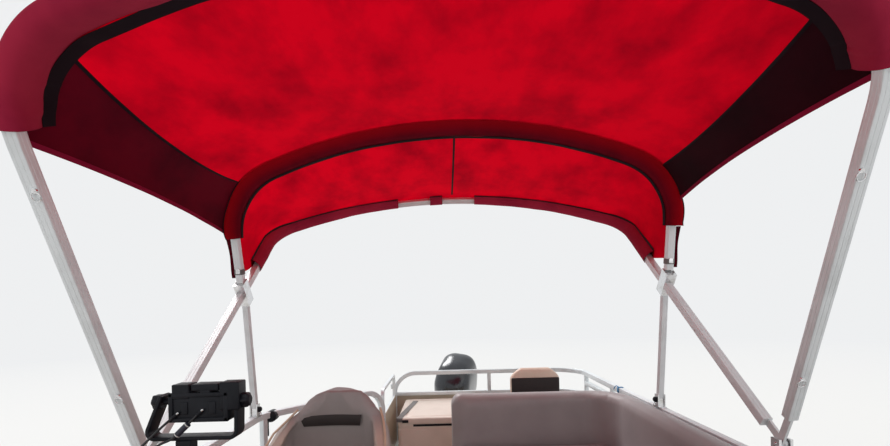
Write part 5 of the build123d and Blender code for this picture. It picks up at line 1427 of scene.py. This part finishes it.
def parked(shape):
    # steered about the steering tube, then tilted about the tilt tube
    points, faces, uv = shape
    a, b = radians(motor["steer"]), radians(motor["tilt"])
    x, y, z = points[:, 0] - motor["axisX"], points[:, 1], points[:, 2]
    x, y = x * cos(a) - y * sin(a) + motor["axisX"], x * sin(a) + y * cos(a)
    x, z = x * cos(b) + z * sin(b), z * cos(b) - x * sin(b)
    return np.column_stack([x, y, z]) + np.array(motor["at"]), faces, uv


def makeCowl():
    rows = []
    for z, middle, long, wide, r in cowlRows:
        loop = roundedLoop(long, wide, r, 9)
        # the sides draw in toward the front: width times 1 - 0.16 s^2, s going from 0 at the middle to 1
        nose = np.clip(loop[:, 0] / (long / 2), 0, 1)
        y = loop[:, 1] * (1 - 0.16 * nose**2)
        rows.append(np.column_stack([loop[:, 0] + middle, y, np.full(len(loop), z)]))
    points = np.array(rows)
    # a crease runs back along each flank, and a low ridge along the crown
    level = points[:, :, 2]
    flank = np.exp(-(((level - 0.43 - 0.12 * (points[:, :, 0] + 0.19)) / 0.022) ** 2))
    points[:, :, 1] *= 1 + 0.022 * flank
    crest = np.exp(-((points[:, :, 1] / 0.045) ** 2)) * np.clip((level - 0.66) / 0.05, 0, 1)
    points[:, :, 2] += 0.004 * crest
    shape = lofted(points)
    piece("motorCowl", [parked(shape)], "cowl", "motor", ("motor_cowl",), sharp=32, levels=1)
    latch = [slab((-0.500, -0.030, 0.170), (-0.476, 0.030, 0.214), 0.004)]
    piece("cowlLatch", [parked(shape) for shape in latch], "black", "motor", sharp=30)


makeCowl()
print("motor made")


# Canopy's small fittings: posts, leg straps, snap hooks, foot pins, ties and canvas ends
posts = {"size": 0.032, "foot": (-0.437, 1.445 + 0.034), "trim": 0.020, "strapUp": 0.085,
         "strap": (0.044, 0.006, 0.014), "knob": (0.040, 0.022, 0.015), "hoop": (0.011, 0.0016),
         "hookUp": (0.985, 0.30), "ring": (0.013, 0.0018)}
ties = {"clampAt": (-0.590, -1.128, 1.418), "clampBack": 0.028, "tailAcross": (0.34, 0.94), "tailHalf": 0.016,
        "tail": ((0, -0.020, -0.020), (0.004, -0.028, -0.045), (0, -0.030, -0.075), (0.005, -0.027, -0.105),
                 (0.002, -0.030, -0.125)),
        "clamp": ((0, 0.024), (0.004, 0.034), (0.060, 0.035), (0.068, 0.029), (0.072, 0.018)),
        "tieAt": (-1.060, 1.175, 1.429), "round": 0.040, "turns": (-0.008, 0.0, 0.008), "tieR": 0.0035,
        "end": ((0, -0.014, 0.022), (0.014, -0.026, 0.030), (0.030, -0.034, 0.018), (0.038, -0.036, 0)),
        "endR": 0.0032}
flaps = {"each": (("flapStarboard", -1, 0.292), ("flapPort", 1, 0.272)), "foot": 0.05, "out": 0.036,
         "wave": 0.004, "pitch": 26, "narrow": (1.0, 0.55), "size": (0.034, 0.0016)}


def legPoint(name, side, v, out=0.0):
    # a point at height v up a leg, and the leg's frame: up, across the tube, and outboard
    up, normal = bowFrame(name)
    lean = 1 - canopy[name]["toe"][side > 0] * v / canopy[name]["crown"]
    at = bowFoot(name) + up * v + np.array([0, side * (canopy["half"] * lean + out), 0])
    at[1] -= v * sin(radians(canopy[name]["roll"]))
    return at, up, normal


def makePosts():
    k = posts
    aft = radians(canopy["aft"]["lean"])
    joint = np.array([canopy["pivotX"], 0, canopy["pivotZ"]])
    joint = joint + canopy["jointUp"] * np.array([sin(aft), 0, cos(aft)])
    top = joint - canopy["jointOut"] * np.array([cos(aft), 0, -sin(aft)])
    foot = np.array([k["foot"][0], 0, k["foot"][1]])
    way = unit(top - foot)
    loop = groovedLoop(k["size"], 0.0008)
    shapes = []
    for side in (-1, 1):
        y = np.array([0, side * canopy["half"], 0])
        line = np.array([foot + way * k["trim"] + y, top - way * k["trim"] + y])
        shapes.append(squareTube(line, loop, (0.0, 1.0, 0.0)))
    piece("canopyPosts", shapes, "tube", "root", ("canopy_rear_posts",), sharp=28)


def ringPoints(centre, r, across, up, drop):
    # a ring of 17 points in the plane of across and up, hung drop radii under its centre
    return [centre + r * (across * cos(t) + up * (sin(t) - drop)) for t in np.linspace(0, 2 * pi, 17)]


def legFittings(side):
    # a strap and its slide round the mid leg's foot, and a knob and a pin with its hoop at the post's foot
    k = posts
    low, up, normal = legPoint("mid", side, k["strapUp"])
    wide, corner, half = k["strap"]
    strap = squareTube(np.array([low - up * half, low + up * half]), roundedLoop(wide, wide, corner), normal)
    slide = slab(low + np.array([0.018, -0.012, -half]), low + np.array([0.027, 0.012, half]), 0.003)
    base = np.array([k["foot"][0], side * canopy["half"], k["foot"][1]])
    outer, inner, r = k["knob"]
    knob = lobedKnob(base[0] + 0.005, base[2] + 0.012, base[1] - side * outer, base[1] - side * inner, r)
    pin = base + np.array([0.012, -side * inner, -0.006])
    hoop = ringPoints(pin - np.array([0, side * 0.014, 0]), k["hoop"][0], np.array([1, 0, 0]),
                      np.array([0, 0, 1]), 1)
    stem = roundBar(pin, pin - np.array([0, side * 0.016, 0]), 0.004, 10)
    return strap, knob, [slide, stem, pipe(hoop, k["hoop"][1], 6)]


def snapHooks(side):
    # a stud and its ring at two heights on the front of a fore leg
    k = posts
    hooks = []
    for v in k["hookUp"]:
        at, up, normal = legPoint("fore", side, v)
        face = at + normal * 0.019 - np.array([0, side * 0.012, 0])
        hooks.append(roundBar(face, face + normal * 0.006, 0.007, 12))
        ring = ringPoints(face + normal * 0.007, k["ring"][0], np.array([0, 1, 0]), up, 1.2)
        hooks.append(pipe(ring, k["ring"][1], 6))
    return hooks


def makeFittings():
    straps, knobs, pins = zip(*(legFittings(side) for side in (-1, 1)))
    piece("legStraps", straps, "webbingAndShadow", "root", sharp=30)
    piece("fittingKnobs", knobs, "black", "root", sharp=32)
    piece("snapHooks", snapHooks(-1) + snapHooks(1), "bright", "fore_bow", sharp=40)
    piece("footPins", pins[0] + pins[1], "bright", "root", sharp=40)


def makeTies():
    # a webbing tail and a clamp by the starboard post's foot, and a tie with two ends round the port rail
    k = ties
    at = np.array(k["clampAt"])
    ahead, out = k["tailAcross"]
    tail = strip(at + np.array(k["tail"]), np.tile([ahead, out, 0.0], (5, 1)),
                 np.tile([out, -ahead, 0.0], (5, 1)), k["tailHalf"], 0.002)
    piece("strapTail", [tail], "black", "root", sharp=60)
    clamp = turnedRod(at - np.array([k["clampBack"], 0, 0]), (1, 0, 0), k["clamp"], 18)
    piece("railClamp", [clamp], "black", "root", sharp=32)
    rail = np.array(k["tieAt"])
    around = roundedLoop(k["round"], k["round"], 0.010, 5)
    turns = []
    for shift in k["turns"]:
        ring = rail + np.column_stack([np.full(len(around), shift), around])
        turns.append(pipe(np.vstack([ring, ring[:1]]), k["tieR"], 8))
    for lean in (-1, 1):
        end = rail + np.array(k["end"]) * np.array([lean, 1, 1])
        turns.append(pipe(list(end), k["endR"], 8))
    piece("railTie", turns, "blue", "root", sharp=60)


def makeFlaps():
    # canvas ends that hang from the middle pocket down the legs' outboard faces, drawn in toward their feet
    k = flaps
    for name, side, top in k["each"]:
        normal = bowFrame("mid")[1]
        at = [legPoint("mid", side, v, k["out"] + k["wave"] * sin(k["pitch"] * v))[0]
              for v in np.linspace(top, k["foot"], 12)]
        across = np.tile([0, side * 1.0, 0], (12, 1)) * np.linspace(*k["narrow"], 12)[:, None]
        flap = strip(np.array(at) - normal * 0.006, across, -np.tile(normal, (12, 1)), *k["size"])
        piece(name, [flap], "curtain", "root", sharp=60)


makePosts()
makeFittings()
makeTies()
makeFlaps()
print("fittings made")


# Weld beads round the pontoons, and the middle strap of the aft canvas
hull = {"y": 0.905, "z": 0.330, "r": 0.3058, "bead": 0.0032, "from": -2.1, "step": 1.22, "count": 5}


def makeBeads():
    a = np.linspace(0, 2 * pi, 65)
    rings = []
    for side in (-1, 1):
        for i in range(hull["count"]):
            x = hull["from"] + hull["step"] * i
            ring = np.column_stack([np.full(65, x), side * hull["y"] + hull["r"] * np.cos(a),
                                    hull["z"] + hull["r"] * np.sin(a)])
            rings.append(pipe(ring, hull["bead"], 6))
    piece("weldBeads", rings, "hull", "root", sharp=60)


def makeMiddleStrap():
    column = int(np.abs(aftPoints[0, :, 1] - 0.012).argmin())
    path = aftPoints[2:-3, column] - aftOut[2:-3, column] * 0.004
    across = unit(np.cross(tangents(path), aftOut[2:-3, column]))
    piece("middleStrap", [strip(path, across, -aftOut[2:-3, column], 0.012)], "tape", "root",
          sharp=60)


makeBeads()
makeMiddleStrap()
print("hull made")


# Floor and light
studio = {"floorColour": (0.78, 0.78, 0.77), "backColour": (0.86, 0.87, 0.88), "radius": 60.0,
          "fade": (9.0, 26.0), "sky": 0.52, "sun": 2.3, "sunFrom": (-0.50, -0.38, 0.86), "sunWidth": 28.0,
          "fill": 0.30, "fillFrom": (0.85, 0.25, 0.45), "fillWidth": 60.0}


def makeFloor(s):
    # a round floor that fades into the pale backdrop with distance
    ring = np.linspace(0, 2 * pi, 96, endpoint=False)
    reach = np.array([0.001, 4, 9, 16, 26, 40, s["radius"]])
    disc = np.stack([np.outer(reach, np.cos(ring)), np.outer(reach, np.sin(ring)),
                     np.zeros((len(reach), len(ring)))], axis=-1)
    finish, tree, shader = newFinish("paleFloor", s["floorColour"], 0.9)
    length = tree.nodes.new("ShaderNodeVectorMath")
    length.operation = "LENGTH"
    link(tree, place(tree), length.inputs[0])
    far = ranged(tree, length.outputs["Value"], 0.0, 1.0, *s["fade"])
    glow = tree.nodes.new("ShaderNodeEmission")
    glow.inputs["Color"].default_value = (*s["backColour"], 1)
    mix = tree.nodes.new("ShaderNodeMixShader")
    link(tree, far, mix.inputs["Fac"])
    link(tree, shader.outputs["BSDF"], mix.inputs[1])
    link(tree, glow.outputs["Emission"], mix.inputs[2])
    output = next(n for n in tree.nodes if n.type == "OUTPUT_MATERIAL")
    link(tree, mix.outputs["Shader"], output.inputs["Surface"])
    finishes["floorAround"] = finish
    piece("studioFloor", [gridShape(disc, wrapCols=True, flip=True)], "floorAround", ride=False)


def makeSky(s):
    # one even light on the part, and the pale backdrop for what the camera sees directly or mirrored
    world = bpy.data.worlds.new("studio")
    bpy.context.scene.world = world
    world.use_nodes = True
    sky = world.node_tree
    seen = sky.nodes["Background"]
    lit = sky.nodes.new("ShaderNodeBackground")
    rays = sky.nodes.new("ShaderNodeLightPath")
    choose = sky.nodes.new("ShaderNodeMixShader")
    seen.inputs["Color"].default_value = (*s["backColour"], 1)
    lit.inputs["Color"].default_value = (1, 1, 1, 1)
    lit.inputs["Strength"].default_value = s["sky"]
    shown = sums(sky, rays.outputs["Is Camera Ray"], rays.outputs["Is Glossy Ray"], "MAXIMUM")
    shown = sums(sky, shown, rays.outputs["Is Transmission Ray"], "MAXIMUM")
    link(sky, shown, choose.inputs["Fac"])
    link(sky, lit.outputs["Background"], choose.inputs[1])
    link(sky, seen.outputs["Background"], choose.inputs[2])
    link(sky, choose.outputs["Shader"], sky.nodes["World Output"].inputs["Surface"])


def makeLamp(name, strength, source, width):
    lamp = bpy.data.lights.new(name, "SUN")
    lamp.energy = strength
    lamp.angle = radians(width)
    holder = bpy.data.objects.new(name, lamp)
    back = unit(np.array(source))
    right = unit(np.cross((0, 0, 1), back))
    holder.matrix_world = Matrix(np.stack([right, np.cross(back, right), back], axis=1).tolist()).to_4x4()
    bpy.context.scene.collection.objects.link(holder)


makeFloor(studio)
makeSky(studio)
makeLamp("key", studio["sun"], studio["sunFrom"], studio["sunWidth"])
makeLamp("fill", studio["fill"], studio["fillFrom"], studio["fillWidth"])
bpy.context.scene.view_settings.view_transform = "Standard"
print("studio made")
